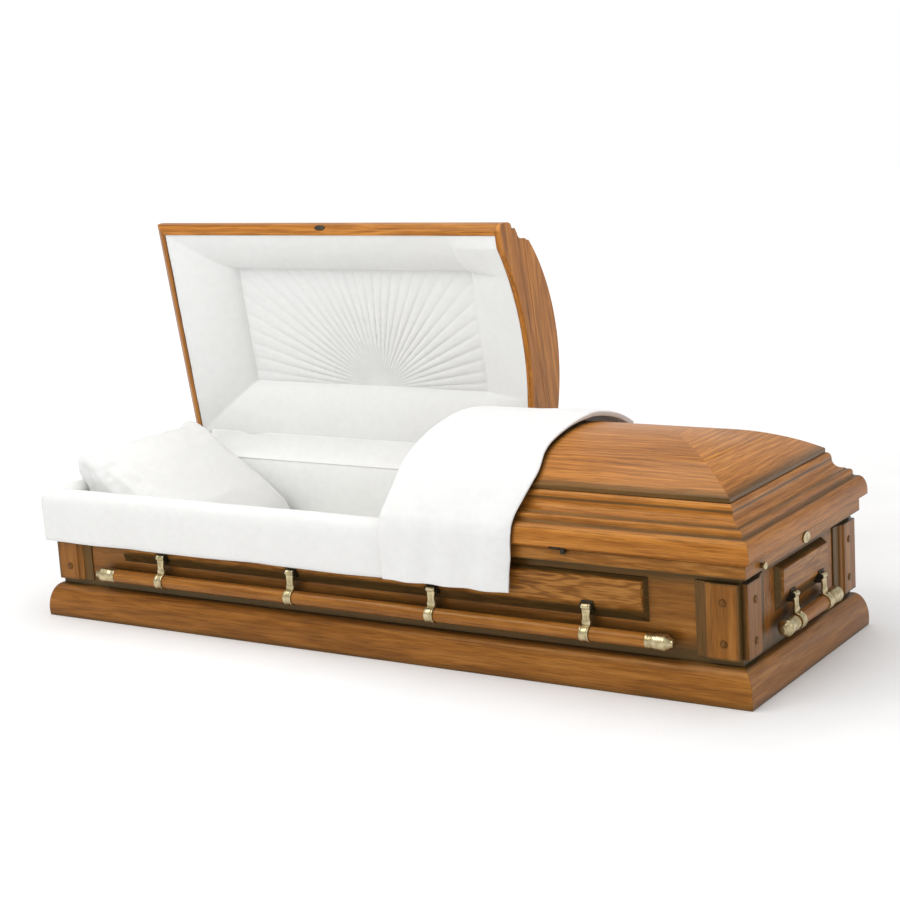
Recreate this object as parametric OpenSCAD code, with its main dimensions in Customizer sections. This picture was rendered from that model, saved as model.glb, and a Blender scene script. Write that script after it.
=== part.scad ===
// Half-couch wooden casket: a moulded oak case with two hinged lids, swing-bar handles
// on all four sides and a padded cloth interior. The head lid stands open and the foot
// lid is shut. X runs to the foot end, -Y is the front, Z is up; the origin is the centre
// of the underside.

/* [Overall] */
// Length of the base, head to foot
case_length = 2110; // [1900:10:2300]
// Width of the base, front to back
case_width = 708; // [640:4:800]
// Length of the foot lid, from the foot end of the base to the split
foot_lid_length = 941; // [800:1:1100]
// Gap between the two lids when both are shut
lid_gap = 2; // [1:0.5:4]
// Angle between shut and fully open lids
lid_open_angle = 81; // [60:1:85]

/* [Base moulding] */
// Height of the base moulding
base_height = 89; // [70:1:110]
// Height of the base moulding's widest point
base_nose_height = 18; // [10:1:24]
/* [Case] */
// Inset of the case walls from the base's outer face
wall_inset = 35; // [30:1:40]
// Thickness of the case walls
wall_thick = 19; // [15:1:24]
// Height of the case walls' top edge
wall_top = 296; // [280:1:330]
// Height of the underside of the floor board
floor_z = 0; // [0:1:20]
// Thickness of the floor board
floor_thick = 15; // [12:1:20]

/* [Top rail] */
// Inset of the top rail's outer face
rail_inset = 14.5; // [12:0.5:18]
// Height of the top rail
rail_height = 30; // [25:1:40]

/* [Posts and panels] */
// Width of each post board
post_width = 112; // [100:1:125]
// Thickness of each post board
post_thick = 15; // [12:1:17]
// Width of the moulded inner margin of a post board
post_margin = 44; // [30:1:50]
// Gap between a post's ends and the boards above and below it
post_gap = 15; // [10:1:18]
// Thickness of the raised panels
panel_thick = 20; // [16:1:22]
// Width of a raised panel's bevel at its ends and top
panel_bevel = 10; // [8:1:14]
// Height of a raised panel's long lower bevel
panel_low_bevel = 38; // [30:1:44]
// Height of a raised panel's lower edge
panel_bottom = 168; // [160:1:176]
// Gap between a raised panel's top edge and the top rail
panel_top_gap = 20; // [12:1:26]
// Length of the two long raised panels
long_panel_length = 1580; // [1500:10:1640]
// Length of the two end raised panels
end_panel_length = 282; // [270:1:300]

/* [Lids] */
// Inset of the lid frame's inner edge
lid_frame_inset = 27; // [24:1:32]
// Height of the lid moulding, from the top rail to the crown
lid_mould_height = 125; // [115:1:135]
// Inset of the crown's outer edge
crown_inset = 75; // [70:1:80]
// Height of the crown's upright edge
crown_lip = 11; // [8:1:14]
// Rise of the crown's arch above its edge
crown_rise = 84; // [70:1:95]
// Thickness of the crown boards
crown_thick = 16; // [12:1:20]
// Thickness of the boards that close the lids at the split
header_thick = 18; // [15:1:22]
// Height of the header's arched opening above the top rail
header_arch_rise = 66; // [50:1:75]
// Half width of the header's arched opening
header_arch_half = 292; // [270:1:300]

/* [Handles] */
// Diameter of the wooden bars
bar_d = 34; // [28:1:36]
// Inset of the hanging bars' axis from the base's outer face
bar_inset = 5; // [2:1:8]
// Height of the hanging bars' axis
bar_z = 134; // [128:1:138]
// Inset of the handles' hinge pins
pin_inset = 9; // [7:1:11]
// Height of the handles' hinge pins
pin_z = 197; // [193:1:201]
// Diameter of the hinge pins
pin_d = 6; // [4:0.5:7]
// Radial clearance between a pin and its knuckle
pin_clearance = 0.05; // [0.03:0.01:0.1]
// Outer diameter of the arms' knuckles
knuckle_d = 16; // [14:1:17]
// Width of an arm
arm_width = 24; // [20:1:28]
// Thickness of an arm
arm_thick = 7; // [5:1:8]
// Wall of the clasp around the bar
clasp_wall = 4; // [3:0.5:5]
// Distance between neighbouring arms on the long bars
long_arm_pitch = 427; // [400:1:440]
// Distance between the two arms on the end bars
end_arm_pitch = 168; // [150:1:180]
// Overhang of a bar beyond its last arm, to the end of its tip
long_bar_overhang = 225; // [200:1:230]
// Overhang of an end bar beyond its arms
end_bar_overhang = 87; // [80:1:95]
// Length of a bar's metal tip
tip_length = 66; // [60:1:75]

/* [Cloth] */
// Running gap between soft parts and what is next to them
soft_gap = 0.5; // [0.3:0.1:1]
// Thickness of the padded case lining
lining_thick = 12; // [8:1:16]
// Height of the bed's top
bed_top = 140; // [110:1:160]
// Thickness of the apron that hangs over the open edge
apron_thick = 9; // [6:1:12]
// Height of the padded roll on the rail, under the apron
apron_roll = 28; // [20:1:32]
// Height of the apron's lower edge
apron_bottom = 211; // [208:1:230]
// Thickness of the throw over the foot lid
throw_thick = 12; // [8:1:14]
// Width of the throw along the lid
throw_width = 362; // [300:2:420]
// Overhang of the throw past the foot lid's split edge
throw_overhang = 16; // [8:1:22]
// Height of the throw's lower edge
throw_bottom = 213; // [210:1:230]
// Width of the padded roll around the lid's lining
lid_roll_width = 122; // [90:1:140]
// Depth of the lid's pleated panel above the lid's lower edge
lid_recess = 94; // [70:1:96]
// Thickness of the pillow
pillow_thick = 120; // [90:5:140]

/* [Hidden] */

half_l = case_length/2;
half_w = case_width/2;
outer_margin = 20;             // how far clip shapes reach past the base's outer face
split_x = half_l - foot_lid_length;
rail_top = wall_top + rail_height;
crown_z = rail_top + lid_mould_height;
arch_z = crown_z + crown_lip;
arch_half = half_w - crown_inset;
arch_r = (arch_half*arch_half + crown_rise*crown_rise)/(2*crown_rise);
arch_centre_z = arch_z + crown_rise - arch_r;
oak = "#9a6227";
dark_oak = "#85521f";
brass_old = "#9c8e63";
dark_metal = "#2b261d";
cloth_white = "#e6e6e4";

// ---------- profiles: [inset from the base's outer face, height] ----------

// Points on an ellipse's arc from angle a0 to a1, in n steps.
function arc(cx, cy, rx, ry, a0, a1, n) =
  [for (i = [0:n]) let (a = a0 + (a1 - a0)*i/n) [cx + rx*cos(a), cy + ry*sin(a)]];

nose_rise = base_height - base_nose_height;
nose_run = wall_inset - 1;
nose_start = -asin(base_nose_height/nose_rise);
base_profile = concat(
  arc(nose_run, base_nose_height, -nose_run, nose_rise, nose_start, 90, 14),
  [[wall_inset, base_height], [wall_inset, 0]]);

wall_inner = wall_inset + wall_thick;
rail_ease = 0.6;               // eased outer edge, clear of the lids' hinge line
rail_profile = [
  [rail_inset, wall_top], [rail_inset, rail_top - rail_ease], [rail_inset + rail_ease, rail_top],
  [wall_inner, rail_top], [wall_inner, wall_top]];

// Lid moulding, from its lower outer edge up: an undercut, a big ovolo, a fillet, a bead,
// a cove and a small torus under the crown; then down its inner side.
undercut_height = 10;          // rise of the undercut face below the ovolo
ovolo_mid = 19;                // height of the ovolo's nose above the lid's lower edge
ovolo_top = 59;
ovolo_inset = 16.5;
ovolo_run = 18;
ovolo_start = -asin((ovolo_mid - undercut_height)/(ovolo_top - ovolo_mid));
bead_inset = 25;
bead_z = 63;
cove_z = 82;
cove_inset = 40;
torus_z = lid_mould_height - 16;
torus_inset = 64;
torus_run = crown_inset - 1 - torus_inset;
inner_run = crown_inset + crown_thick;
function lid_outer() = concat(
  [[rail_inset, rail_top]],
  arc(ovolo_inset, rail_top + ovolo_mid, -ovolo_run, ovolo_top - ovolo_mid,
    ovolo_start, 84, 12),
  [[ovolo_inset + 4, rail_top + ovolo_top], [bead_inset, rail_top + bead_z]],
  arc(bead_inset + 7, rail_top + bead_z + 5, -7, 10, -10, 70, 5),
  [[cove_inset - 3, rail_top + cove_z - 3]],
  arc(cove_inset, rail_top + torus_z, torus_inset - cove_inset, cove_z - torus_z, 90, 12, 8),
  arc(crown_inset - 1, rail_top + torus_z, -torus_run, lid_mould_height - torus_z, 5, 90, 6));
function lid_inner() = [
  [inner_run, crown_z], [inner_run, crown_z - 16], [lid_frame_inset + 14, rail_top + 42],
  [lid_frame_inset, rail_top + 26], [lid_frame_inset, rail_top]];
function lid_profile() = concat(lid_outer(), lid_inner());

// Post board seen from above: [distance from its outer edge, distance from the case wall].
// A flat face, then an ogee margin that steps down towards the raised panel.
post_face = post_width - post_margin;
post_lip = 3;                  // thickness left at the inner edge
post_step = post_thick - 4;    // height of the margin's upper step
function post_profile() = concat(
  [[0, 0], [0, post_thick], [post_face, post_thick], [post_face + 2, post_step]],
  arc(post_face + 10, post_step - 4, 8, 4, 120, 0, 6),
  arc(post_width - 6, post_step - 4, -(post_margin - 24), post_lip + 5 - post_step, 0, 90, 8),
  [[post_width, post_lip], [post_width, 0]]);

// ---------- shared shapes ----------

// Extrudes a [across, up] profile along X from x0 to x1.
module run_x(x0, x1) {
  translate([x0, 0, 0]) rotate([90, 0, 90]) linear_extrude(x1 - x0) children();
}

// Profile points of the front side as [y, z], and of the foot end as [x, z].
function front_points(p) = [for (q = p) [q[0] - half_w, q[1]]];
function foot_points(p) = [for (q = p) [half_l - q[0], q[1]]];

tall = 800;                    // height of the clip shapes
module front_wedge(depth) {
  translate([0, 0, -1]) linear_extrude(tall) polygon([
    [-half_l - outer_margin, -half_w - outer_margin],
    [half_l + outer_margin, -half_w - outer_margin],
    [half_l - depth, depth - half_w], [depth - half_l, depth - half_w]]);
}

module foot_wedge(depth) {
  translate([0, 0, -1]) linear_extrude(tall) polygon([
    [half_l + outer_margin, -half_w - outer_margin],
    [half_l + outer_margin, half_w + outer_margin],
    [half_l - depth, half_w - depth], [half_l - depth, depth - half_w]]);
}

// A board along the front with mitred ends, and one across the foot end.
module front_board(profile, depth) {
  intersection() {
    run_x(-half_l - outer_margin, half_l + outer_margin) polygon(front_points(profile));
    front_wedge(depth);
  }
}

module foot_board(profile, depth) {
  intersection() {
    translate([0, half_w + outer_margin, 0]) rotate([90, 0, 0])
      linear_extrude(2*(half_w + outer_margin)) polygon(foot_points(profile));
    foot_wedge(depth);
  }
}

module to_back() { mirror([0, 1, 0]) children(); }
module to_head() { mirror([1, 0, 0]) children(); }

// ---------- case ----------

module base_board_x() { color(oak) front_board(base_profile, wall_inset); }
module base_board_y() { color(oak) foot_board(base_profile, wall_inset); }
module rail_board_x() { color(oak) front_board(rail_profile, wall_inner); }
module rail_board_y() { color(oak) foot_board(rail_profile, wall_inner); }

// Box of the given half sizes from z0 up to z1.
module block(hx, hy, z0, z1) {
  translate([-hx, -hy, z0]) cube([2*hx, 2*hy, z1 - z0]);
}

case_half_l = half_l - wall_inset;
case_half_w = half_w - wall_inset;
module case() {
  color(dark_oak) difference() {
    block(case_half_l, case_half_w, floor_z, wall_top);
    block(half_l - wall_inner, half_w - wall_inner, floor_z + floor_thick, wall_top + 1);
  }
}

// Raised panel lying on the front wall, centred on X.
panel_top = wall_top - panel_top_gap;
module panel_body(len) {
  inner_x = len/2 - panel_bevel;
  face_y = panel_thick;
  translate([0, -case_half_w, 0]) rotate([90, 0, 0]) intersection() {
    translate([-len/2, 0, 0]) rotate([90, 0, 90]) linear_extrude(len) polygon([
      [panel_bottom, 0], [panel_top, 0], [panel_top - panel_bevel, face_y],
      [panel_bottom + panel_low_bevel, face_y]]);
    translate([0, tall/2, 0]) rotate([90, 0, 0]) linear_extrude(tall) polygon([
      [-len/2, 0], [len/2, 0], [inner_x, face_y], [-inner_x, face_y]]);
  }
}

module long_panel() { color(oak) panel_body(long_panel_length); }

// The same panel on the foot end wall.
module end_panel() {
  color(oak) rotate([0, 0, 90]) translate([0, half_w - half_l, 0])
    panel_body(end_panel_length);
}

post_bottom = base_height + post_gap;
post_top = wall_top - post_gap;
// Post on the front wall at the foot end.
module front_post() {
  color(oak) translate([case_half_l, -case_half_w, post_bottom])
    linear_extrude(post_top - post_bottom)
      polygon([for (q = post_profile()) [-q[0], -q[1]]]);
}

// Post on the foot end wall at the front.
module foot_post() {
  color(oak) translate([case_half_l, -case_half_w, post_bottom])
    linear_extrude(post_top - post_bottom)
      polygon([for (q = post_profile()) [q[1], q[0]]]);
}

// ---------- lids ----------

// Arch region of the crown in the [y, z] plane, shrunk inwards by t.
module side_arch(t) {
  intersection() {
    translate([0, arch_centre_z]) circle(r = arch_r - t, $fn = 180);
    translate([t - arch_half, crown_z - 1]) square([2*(arch_half - t), crown_lip + crown_rise + 2]);
  }
}

// The same arch seen from the front, at the foot end: it rises from the end of the crown
// over half the lid's width and then runs level to the split.
module end_arch(t) {
  end_x = half_l - crown_inset - t;
  ridge_x = half_l - half_w;
  intersection() {
    union() {
      translate([ridge_x, arch_centre_z]) circle(r = arch_r - t, $fn = 180);
      translate([-half_l, crown_z - 1]) square([half_l + ridge_x, arch_centre_z + arch_r - t - crown_z + 1]);
    }
    translate([-half_l, crown_z - 1]) square([half_l + end_x, crown_lip + crown_rise + 2]);
  }
}

module crown_body(x0, t, z0) {
  intersection() {
    run_x(x0, half_l) side_arch(t);
    translate([0, half_w, 0]) rotate([90, 0, 0]) linear_extrude(2*half_w) end_arch(t);
    translate([x0, -half_w, z0]) cube([case_length, case_width, tall]);
  }
}

// Crown of a lid whose frame starts at x0 and runs to the foot end.
module crown(x0) {
  color(oak) difference() {
    crown_body(x0, 0, crown_z);
    crown_body(x0 - 1, crown_thick, crown_z - 1);
  }
}

module lid_front(x0) {
  color(oak) intersection() {
    front_board(lid_profile(), inner_run);
    translate([x0, -case_width, 0]) cube([case_length, case_length, tall]);
  }
}

module lid_end() { color(oak) foot_board(lid_profile(), inner_run); }

// Full outline of the lid's cross-section, without the arched opening.
function lid_arch_points() = let (a = asin(arch_half/arch_r))
  [for (i = [0:90]) let (t = a*(i/45 - 1)) [arch_r*sin(t), arch_centre_z + arch_r*cos(t)]];
module lid_section() {
  left = front_points(lid_outer());
  polygon(concat(left, [[-arch_half, crown_z]], lid_arch_points(), [[arch_half, crown_z]],
    [for (i = [len(left) - 1:-1:0]) [-left[i][0], left[i][1]]]));
}

header_joint_z = crown_z - 14; // height of the glue line between the header's two boards
header_arch_r = (header_arch_half*header_arch_half + header_arch_rise*header_arch_rise)
  /(2*header_arch_rise);
joint_groove = 1.2;
module header(x0, face_x) {
  color(oak) difference() {
    run_x(x0, x0 + header_thick) lid_section();
    translate([x0 - 1, 0, rail_top + header_arch_rise - header_arch_r]) rotate([0, 90, 0])
      cylinder(r = header_arch_r, h = header_thick + 2, $fn = 240);
    translate([face_x - joint_groove, -half_w, header_joint_z])
      cube([2*joint_groove, case_width, joint_groove]);
  }
}

// Oval latch plate on the undercut below a lid's front ovolo, centred on x.
latch_half = 17;
latch_r = 7;
latch_thick = 2.5;
latch_knob_r = 6;
latch_knob_inset = 6.5;
latch_knob_drop = 7;           // how far the knob hangs below the lid's lower edge
undercut_run = rail_inset - ovolo_inset + ovolo_run*cos(ovolo_start);
undercut_angle = atan2(undercut_height, undercut_run);
module latch_at(x) {
  translate([x, undercut_run/-2 + rail_inset - half_w, rail_top + undercut_height/2])
    rotate([180 - undercut_angle, 0, 0]) children();
}

module latch_plate(x) {
  latch_at(x) scale([latch_half/latch_r, 1, 1]) cylinder(r = latch_r, h = latch_thick, $fn = 64);
}

foot_latch_x = half_l - 488;
head_latch_x = 586 - half_l;
module foot_latch() {
  color(brass_old) {
    latch_plate(foot_latch_x);
    difference() {       // the knob's top is cut off along the undercut
      translate([foot_latch_x + latch_half + latch_knob_r - 3, latch_knob_inset - half_w,
        rail_top - latch_knob_drop])
        cylinder(r = latch_knob_r, h = latch_knob_drop + undercut_height + 2, $fn = 48);
      latch_at(foot_latch_x) translate([0, -50, -50]) cube([100, 100, 50]);
    }
  }
}

module head_latch() { color(brass_old) latch_plate(head_latch_x); }

// ---------- lid hinge: a piano hinge mortised along the back edge ----------

hinge_y = half_w - rail_inset; // the hinge's axis runs along the rail's outer top edge
hinge_z = rail_top;
leaf_thick = 1.5;
leaf_width = lid_frame_inset - rail_inset - 1;
knuckle_r = 3.5;
hinge_notch = knuckle_r + 0.6; // half size of the notch the knuckles lie in
hinge_pin_r = 1.6;
hinge_bore_r = hinge_pin_r + 0.05;
hinge_pitch = 120;
hinge_gap = 0.5;               // gap between neighbouring knuckles
hinge_end = crown_inset + 40;
foot_lid_x0 = split_x + lid_gap/2;
head_lid_x0 = lid_gap/2 - split_x; // in mirrored coordinates
foot_leaf_x0 = foot_lid_x0 + header_thick + 12;
head_leaf_x0 = head_lid_x0 + header_thick + 12;
leaf_x1 = half_l - hinge_end;

module hinge_rod(x0, x1, r) {
  translate([x0, hinge_y, hinge_z]) rotate([0, 90, 0]) cylinder(r = r, h = x1 - x0, $fn = 48);
}

// Strip of a leaf between distances a and b from the hinge's axis, above or below it.
module leaf_strip(x0, x1, a, b, z0, z1) {
  translate([x0, hinge_y - b, z0]) cube([x1 - x0, b - a, z1 - z0]);
}

// Room in the wood for the leaves and knuckles from x0 to x1, between z0 and z1.
module hinge_room(x0, x1, z0, z1) {
  leaf_strip(x0, x1, -30, leaf_width, z0, z1);
}

// Lid knuckles start at x0, every hinge_pitch; each is half a pitch long.
function starts(x0, x1) = [for (i = [0 : floor((x1 - x0)/hinge_pitch) - 1]) x0 + i*hinge_pitch];

module lid_leaf(x0) {
  x1 = leaf_x1;
  color(brass_old) difference() {
    union() {
      leaf_strip(x0, x1, hinge_notch, leaf_width, hinge_z, hinge_z + leaf_thick);
      for (x = starts(x0, x1)) {
        leaf_strip(x + hinge_gap, x + hinge_pitch/2, 1, hinge_notch + 1, hinge_z, hinge_z + leaf_thick);
        hinge_rod(x + hinge_gap, x + hinge_pitch/2, knuckle_r);
      }
    }
    hinge_rod(x0 - 1, x1 + 1, hinge_bore_r);
  }
}

// Half of the case's leaf, under the leaf of a lid that starts at x0.
module case_leaf_part(x0) {
  x1 = leaf_x1;
  leaf_strip(x0, x1, hinge_notch, leaf_width, hinge_z - leaf_thick, hinge_z);
  hinge_rod(x0, x1, hinge_pin_r);
  for (x = starts(x0, x1)) {
    leaf_strip(x + hinge_pitch/2 + hinge_gap, x + hinge_pitch, 0, hinge_notch + 1,
      hinge_z - leaf_thick, hinge_z);
    hinge_rod(x + hinge_pitch/2 + hinge_gap, x + hinge_pitch, knuckle_r);
  }
}

module case_leaf() {
  color(brass_old) {
    case_leaf_part(foot_leaf_x0);
    to_head() case_leaf_part(head_leaf_x0);
    leaf_strip(-head_leaf_x0, foot_leaf_x0, hinge_notch, leaf_width, hinge_z - leaf_thick, hinge_z);
  }
}

module rail_back() {
  difference() {
    to_back() rail_board_x();
    hinge_room(-leaf_x1, leaf_x1, hinge_z - leaf_thick, hinge_z + 1);
    leaf_strip(-leaf_x1, leaf_x1, -30, hinge_notch, hinge_z - hinge_notch, hinge_z + 1);
  }
}

module lid_back(x0, leaf_x0) {
  difference() {
    to_back() lid_front(x0 + header_thick);
    hinge_room(leaf_x0, leaf_x1, hinge_z - 1, hinge_z + leaf_thick);
    leaf_strip(leaf_x0, leaf_x1, -6, hinge_notch, hinge_z - 1, hinge_z + hinge_notch);
  }
}

// Swings a lid part about the hinge from shut to open.
module opened() {
  translate([0, hinge_y, hinge_z]) rotate([-lid_open_angle, 0, 0])
    translate([0, -hinge_y, -hinge_z]) children();
}

module head_part() { opened() to_head() children(); }

// ---------- handles: a bar on hinged arms; drawn on the front, centred on x = 0 ----------

pin_y = pin_inset - half_w;
bar_y = bar_inset - half_w;
knuckle_gap = 0.6;             // radial room round a knuckle in its lug
ear_gap = 0.4;
ear_thick = 3;
boss_r = knuckle_d/2;
module rod_x(x0, x1, r) {
  translate([x0, 0, 0]) rotate([0, 90, 0]) cylinder(r = r, h = x1 - x0, $fn = 64);
}

// Metal tip of a bar, from the bar's end outwards along z.
module tip() {
  r = bar_d/2 + 1;
  rotate_extrude($fn = 72) polygon([
    [0, -2], [r, -2], [r, 9], [r - 1.2, 9.6], [r - 1.2, 11.4], [r, 12], [r + 0.6, 22],
    [r + 2, tip_length - 22], [r + 1.4, tip_length - 19], [r - 4, tip_length - 9],
    [r - 9, tip_length - 4], [r - 9, tip_length], [0, tip_length]]);
}

module arm(x) {
  w = arm_width/2;
  translate([x, 0, 0]) difference() {
    union() {
      translate([0, bar_y, bar_z]) rod_x(-w, w, bar_d/2 + clasp_wall);
      translate([-w, (pin_y + bar_y - arm_thick)/2, bar_z])
        cube([arm_width, arm_thick, pin_z - bar_z]);
      translate([0, pin_y, pin_z]) rod_x(-w, w, boss_r);
    }
    translate([0, pin_y, pin_z]) rod_x(-w - 1, w + 1, pin_d/2 + pin_clearance);
  }
}

module handle(half_len, arms) {
  color(oak) {
    translate([0, bar_y, bar_z]) {
      rod_x(tip_length - half_len, half_len - tip_length, bar_d/2);
      translate([half_len - tip_length, 0, 0]) rotate([0, 90, 0]) tip();
      translate([tip_length - half_len, 0, 0]) rotate([0, -90, 0]) tip();
    }
    for (x = arms) arm(x);
  }
}

// Hinge lug of one arm: a dark plate bedded on the panel's bevel, two ears and the pin.
lug_half = arm_width/2 + ear_gap + ear_thick;
lug_front_inset = 12;
lug_foot = 16;                 // reach of the plate below the pin
lug_head = 13;                 // and above it
module lug(x, panel_length) {
  color(dark_metal) translate([x, 0, 0]) difference() {
    union() {
      translate([0, -case_half_w, pin_z]) rotate([90, 0, 0])
        linear_extrude(wall_inset - lug_front_inset) intersection() {
          circle(r = lug_half + 4, $fn = 64);
          translate([-lug_half, -lug_foot]) square([2*lug_half, lug_foot + lug_head]);
        }
      for (s = [-1, 1]) translate([s*(lug_half - ear_thick/2) - ear_thick/2, pin_y, pin_z]) {
        rod_x(0, ear_thick, boss_r - 1);
        translate([0, 0, 1 - boss_r]) cube([ear_thick, 8, 2*boss_r - 2]);
      }
      translate([0, pin_y, pin_z]) rod_x(-lug_half, lug_half, pin_d/2);
    }
    translate([-x, 0, 0]) panel_body(panel_length);
    translate([0, pin_y, pin_z]) difference() {
      rod_x(ear_thick - lug_half, lug_half - ear_thick, boss_r + knuckle_gap);
      rod_x(-lug_half, lug_half, pin_d/2);
    }
  }
}

long_half = 1.5*long_arm_pitch + long_bar_overhang;
end_half = end_arm_pitch/2 + end_bar_overhang;
long_arms = [for (i = [0:3]) (i - 1.5)*long_arm_pitch];
end_arms = [-end_arm_pitch/2, end_arm_pitch/2];

// Moves a part drawn on the front to the same place on the foot end.
module to_foot() { rotate([0, 0, 90]) translate([0, half_w - half_l, 0]) children(); }

module front_lug(i) { lug(long_arms[i - 1], long_panel_length); }
module foot_lug(i) { to_foot() lug(end_arms[i - 1], end_panel_length); }

// ---------- small metal parts on the foot end of the rail ----------

rail_face_x = half_l - rail_inset;
rail_mid_z = wall_top + rail_height/2;
module key_cover() {
  color(brass_old) translate([rail_face_x, 0, rail_mid_z]) rotate([0, 90, 0])
    scale([1, 1.5, 1]) cylinder(r = 13, h = 3, $fn = 72);
}

key_knob_y = 99 - half_w;
module key_knob() {
  color(brass_old) translate([rail_face_x, key_knob_y, rail_mid_z - 2]) rotate([0, 90, 0])
    rotate_extrude($fn = 48) polygon([[0, 0], [6, 0], [6, 5], [9, 7], [9, 11], [7.5, 12], [0, 12]]);
}

// ---------- cloth ----------

lining_inset = wall_inner + soft_gap;
lining_top = rail_top - 0.5;
lining_inner = lining_inset + lining_thick;
module case_lining() {
  color(cloth_white) difference() {
    block(half_l - lining_inset, half_w - lining_inset, floor_z + floor_thick, lining_top);
    block(half_l - lining_inner, half_w - lining_inner, bed_top, lining_top + 1);
  }
}

// Lining of a lid that starts at x0: it fills the frame and is hollowed by a sloping
// padded roll round a flat panel. The split end is hollowed to the header's arch.
lid_lining_g = lid_frame_inset + soft_gap;
lid_lining_profile = [
  [lid_lining_g, rail_top + 1], [lid_lining_g, rail_top + 25.6],
  [lid_frame_inset + 14.7, rail_top + 41.4], [inner_run + 0.7, crown_z - 17.2],
  [inner_run + 0.7, crown_z - 16.5]];
lid_panel_z = rail_top + lid_recess;
module both_sides(p) {
  polygon(concat(front_points(p), [for (i = [len(p) - 1:-1:0]) [half_w - p[i][0], p[i][1]]]));
}

// Shape with profile p on the front, back and foot sides, and a plain end at x0.
module three_sided(x0, p) {
  intersection() {
    run_x(x0, half_l) both_sides(p);
    translate([0, half_w, 0]) rotate([90, 0, 0]) linear_extrude(case_width)
      polygon(concat(foot_points(p), [[x0 - 1, p[len(p) - 1][1]], [x0 - 1, p[0][1]]]));
  }
}

module lid_lining(x0, front_roll, back_roll, end_roll, split_roll) {
  start = x0 + header_thick + soft_gap;
  edge = lid_lining_g + 2;
  low = rail_top - 1;
  color(cloth_white) difference() {
    three_sided(start, lid_lining_profile);
    intersection() {
      run_x(start + split_roll, half_l) polygon([
        [edge - half_w, low], [edge - half_w, rail_top + 4],
        [lid_lining_g + front_roll - half_w, lid_panel_z],
        [half_w - lid_lining_g - back_roll, lid_panel_z], [half_w - edge, rail_top + 4],
        [half_w - edge, low]]);
      translate([0, half_w, 0]) rotate([90, 0, 0]) linear_extrude(case_width) polygon([
        [start, low], [half_l - edge, low], [half_l - edge, rail_top + 4],
        [half_l - lid_lining_g - end_roll, lid_panel_z], [start, lid_panel_z]]);
    }
    translate([start - 1, 0, rail_top + header_arch_rise - header_arch_r]) rotate([0, 90, 0])
      cylinder(r = header_arch_r, h = split_roll + 2, $fn = 240);
  }
}

module foot_lining() {
  lid_lining(foot_lid_x0, lid_roll_width, lid_roll_width, lid_roll_width + 20, lid_roll_width);
}

module head_lining() {
  lid_lining(head_lid_x0, lid_roll_width, lid_roll_width + 62, lid_roll_width + 52,
    lid_roll_width + 25);
}

// Pillow leaning on the head end: an inclined cushion, thick in the middle.
pillow_half = half_w - 106;
pillow_x = lining_inner + 3 - half_l;
module pillow() {
  z0 = bed_top + soft_gap;
  color(cloth_white) translate([pillow_x, 0, 0]) intersection() {
    translate([0, pillow_half, 0]) rotate([90, 0, 0]) linear_extrude(2*pillow_half) polygon([
      [4, z0 + 30], [14, z0 + 6], [30, z0], [pillow_thick + 205, z0], [350, z0 + 8], [358, z0 + 22],
      [354, z0 + 45], [334, z0 + 84], [284, z0 + 137], [192, z0 + 205], [126, z0 + 253],
      [72, z0 + 279], [12, z0 + 296], [-8, z0 + 294], [-22, z0 + 280], [-28, z0 + 250],
      [-24, z0 + 226], [-10, z0 + 218], [1, z0 + 214]]);
    run_x(-40, 380) polygon([
      [24 - pillow_half, z0], [6 - pillow_half, z0 + 16], [-pillow_half, z0 + 50],
      [4 - pillow_half, z0 + 200], [16 - pillow_half, z0 + 262], [46 - pillow_half, z0 + 288],
      [90 - pillow_half, z0 + 297], [pillow_half - 90, z0 + 297], [pillow_half - 46, z0 + 288],
      [pillow_half - 16, z0 + 262], [pillow_half - 4, z0 + 200], [pillow_half, z0 + 50],
      [pillow_half - 6, z0 + 16], [pillow_half - 24, z0]]);
  }
}

// Apron: a padded roll on the front and head rails with a flap hanging outside them.
apron_inner = rail_inset - 1.5;
apron_outer = apron_inner - apron_thick - 1.5;
apron_lift = 0.6;
apron_top = rail_top + apron_lift + apron_roll;
apron_profile = [
  [apron_outer, apron_bottom], [apron_outer, apron_top - 32], [apron_outer + 3, apron_top - 16],
  [apron_outer + 12, apron_top - 5], [apron_outer + 26, apron_top], [lining_inner - 20, apron_top],
  [lining_inner - 8, apron_top - 5], [lining_inner, apron_top - 15],
  [lining_inner, rail_top + apron_lift], [apron_inner, rail_top + apron_lift],
  [apron_inner, apron_bottom]];
apron_x1 = split_x - 9;
apron_y1 = half_w - 30;
module apron() {
  color(cloth_white) {
    intersection() {
      front_board(apron_profile, lining_inner);
      translate([-case_length, -case_width, 0]) cube([case_length + apron_x1, case_width, tall]);
    }
    intersection() {
      to_head() foot_board(apron_profile, lining_inner);
      translate([-case_length, -case_width, 0]) cube([case_length, case_width + apron_y1, tall]);
    }
  }
}

// Throw over the shut foot lid, from its back slope over the crown and down the front.
throw_gap = 0.5;
throw_y = half_w + 4;
throw_back = 262;              // how far behind the middle of the lid the throw reaches
throw_x0 = foot_lid_x0 - throw_overhang;
function crown_arc(gap, y0, y1, n) =
  let (r = arch_r + gap, a0 = asin(y0/r), a1 = asin(y1/r))
  [for (i = [0:n]) let (a = a0 + (a1 - a0)*i/n) [r*sin(a), arch_centre_z + r*cos(a)]];
module throw() {
  y1 = throw_gap + throw_thick;
  color(cloth_white) run_x(throw_x0, throw_x0 + throw_width) polygon(concat(
    crown_arc(throw_gap, throw_back, -arch_half - 2, 24),
    [[-throw_y, rail_top + 46], [-throw_y, throw_bottom], [-throw_y - throw_thick, throw_bottom],
     [-throw_y - throw_thick, rail_top + 50]],
    crown_arc(y1, -arch_half - 5, throw_back, 24)));
}

// ---------- parts ----------

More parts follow.
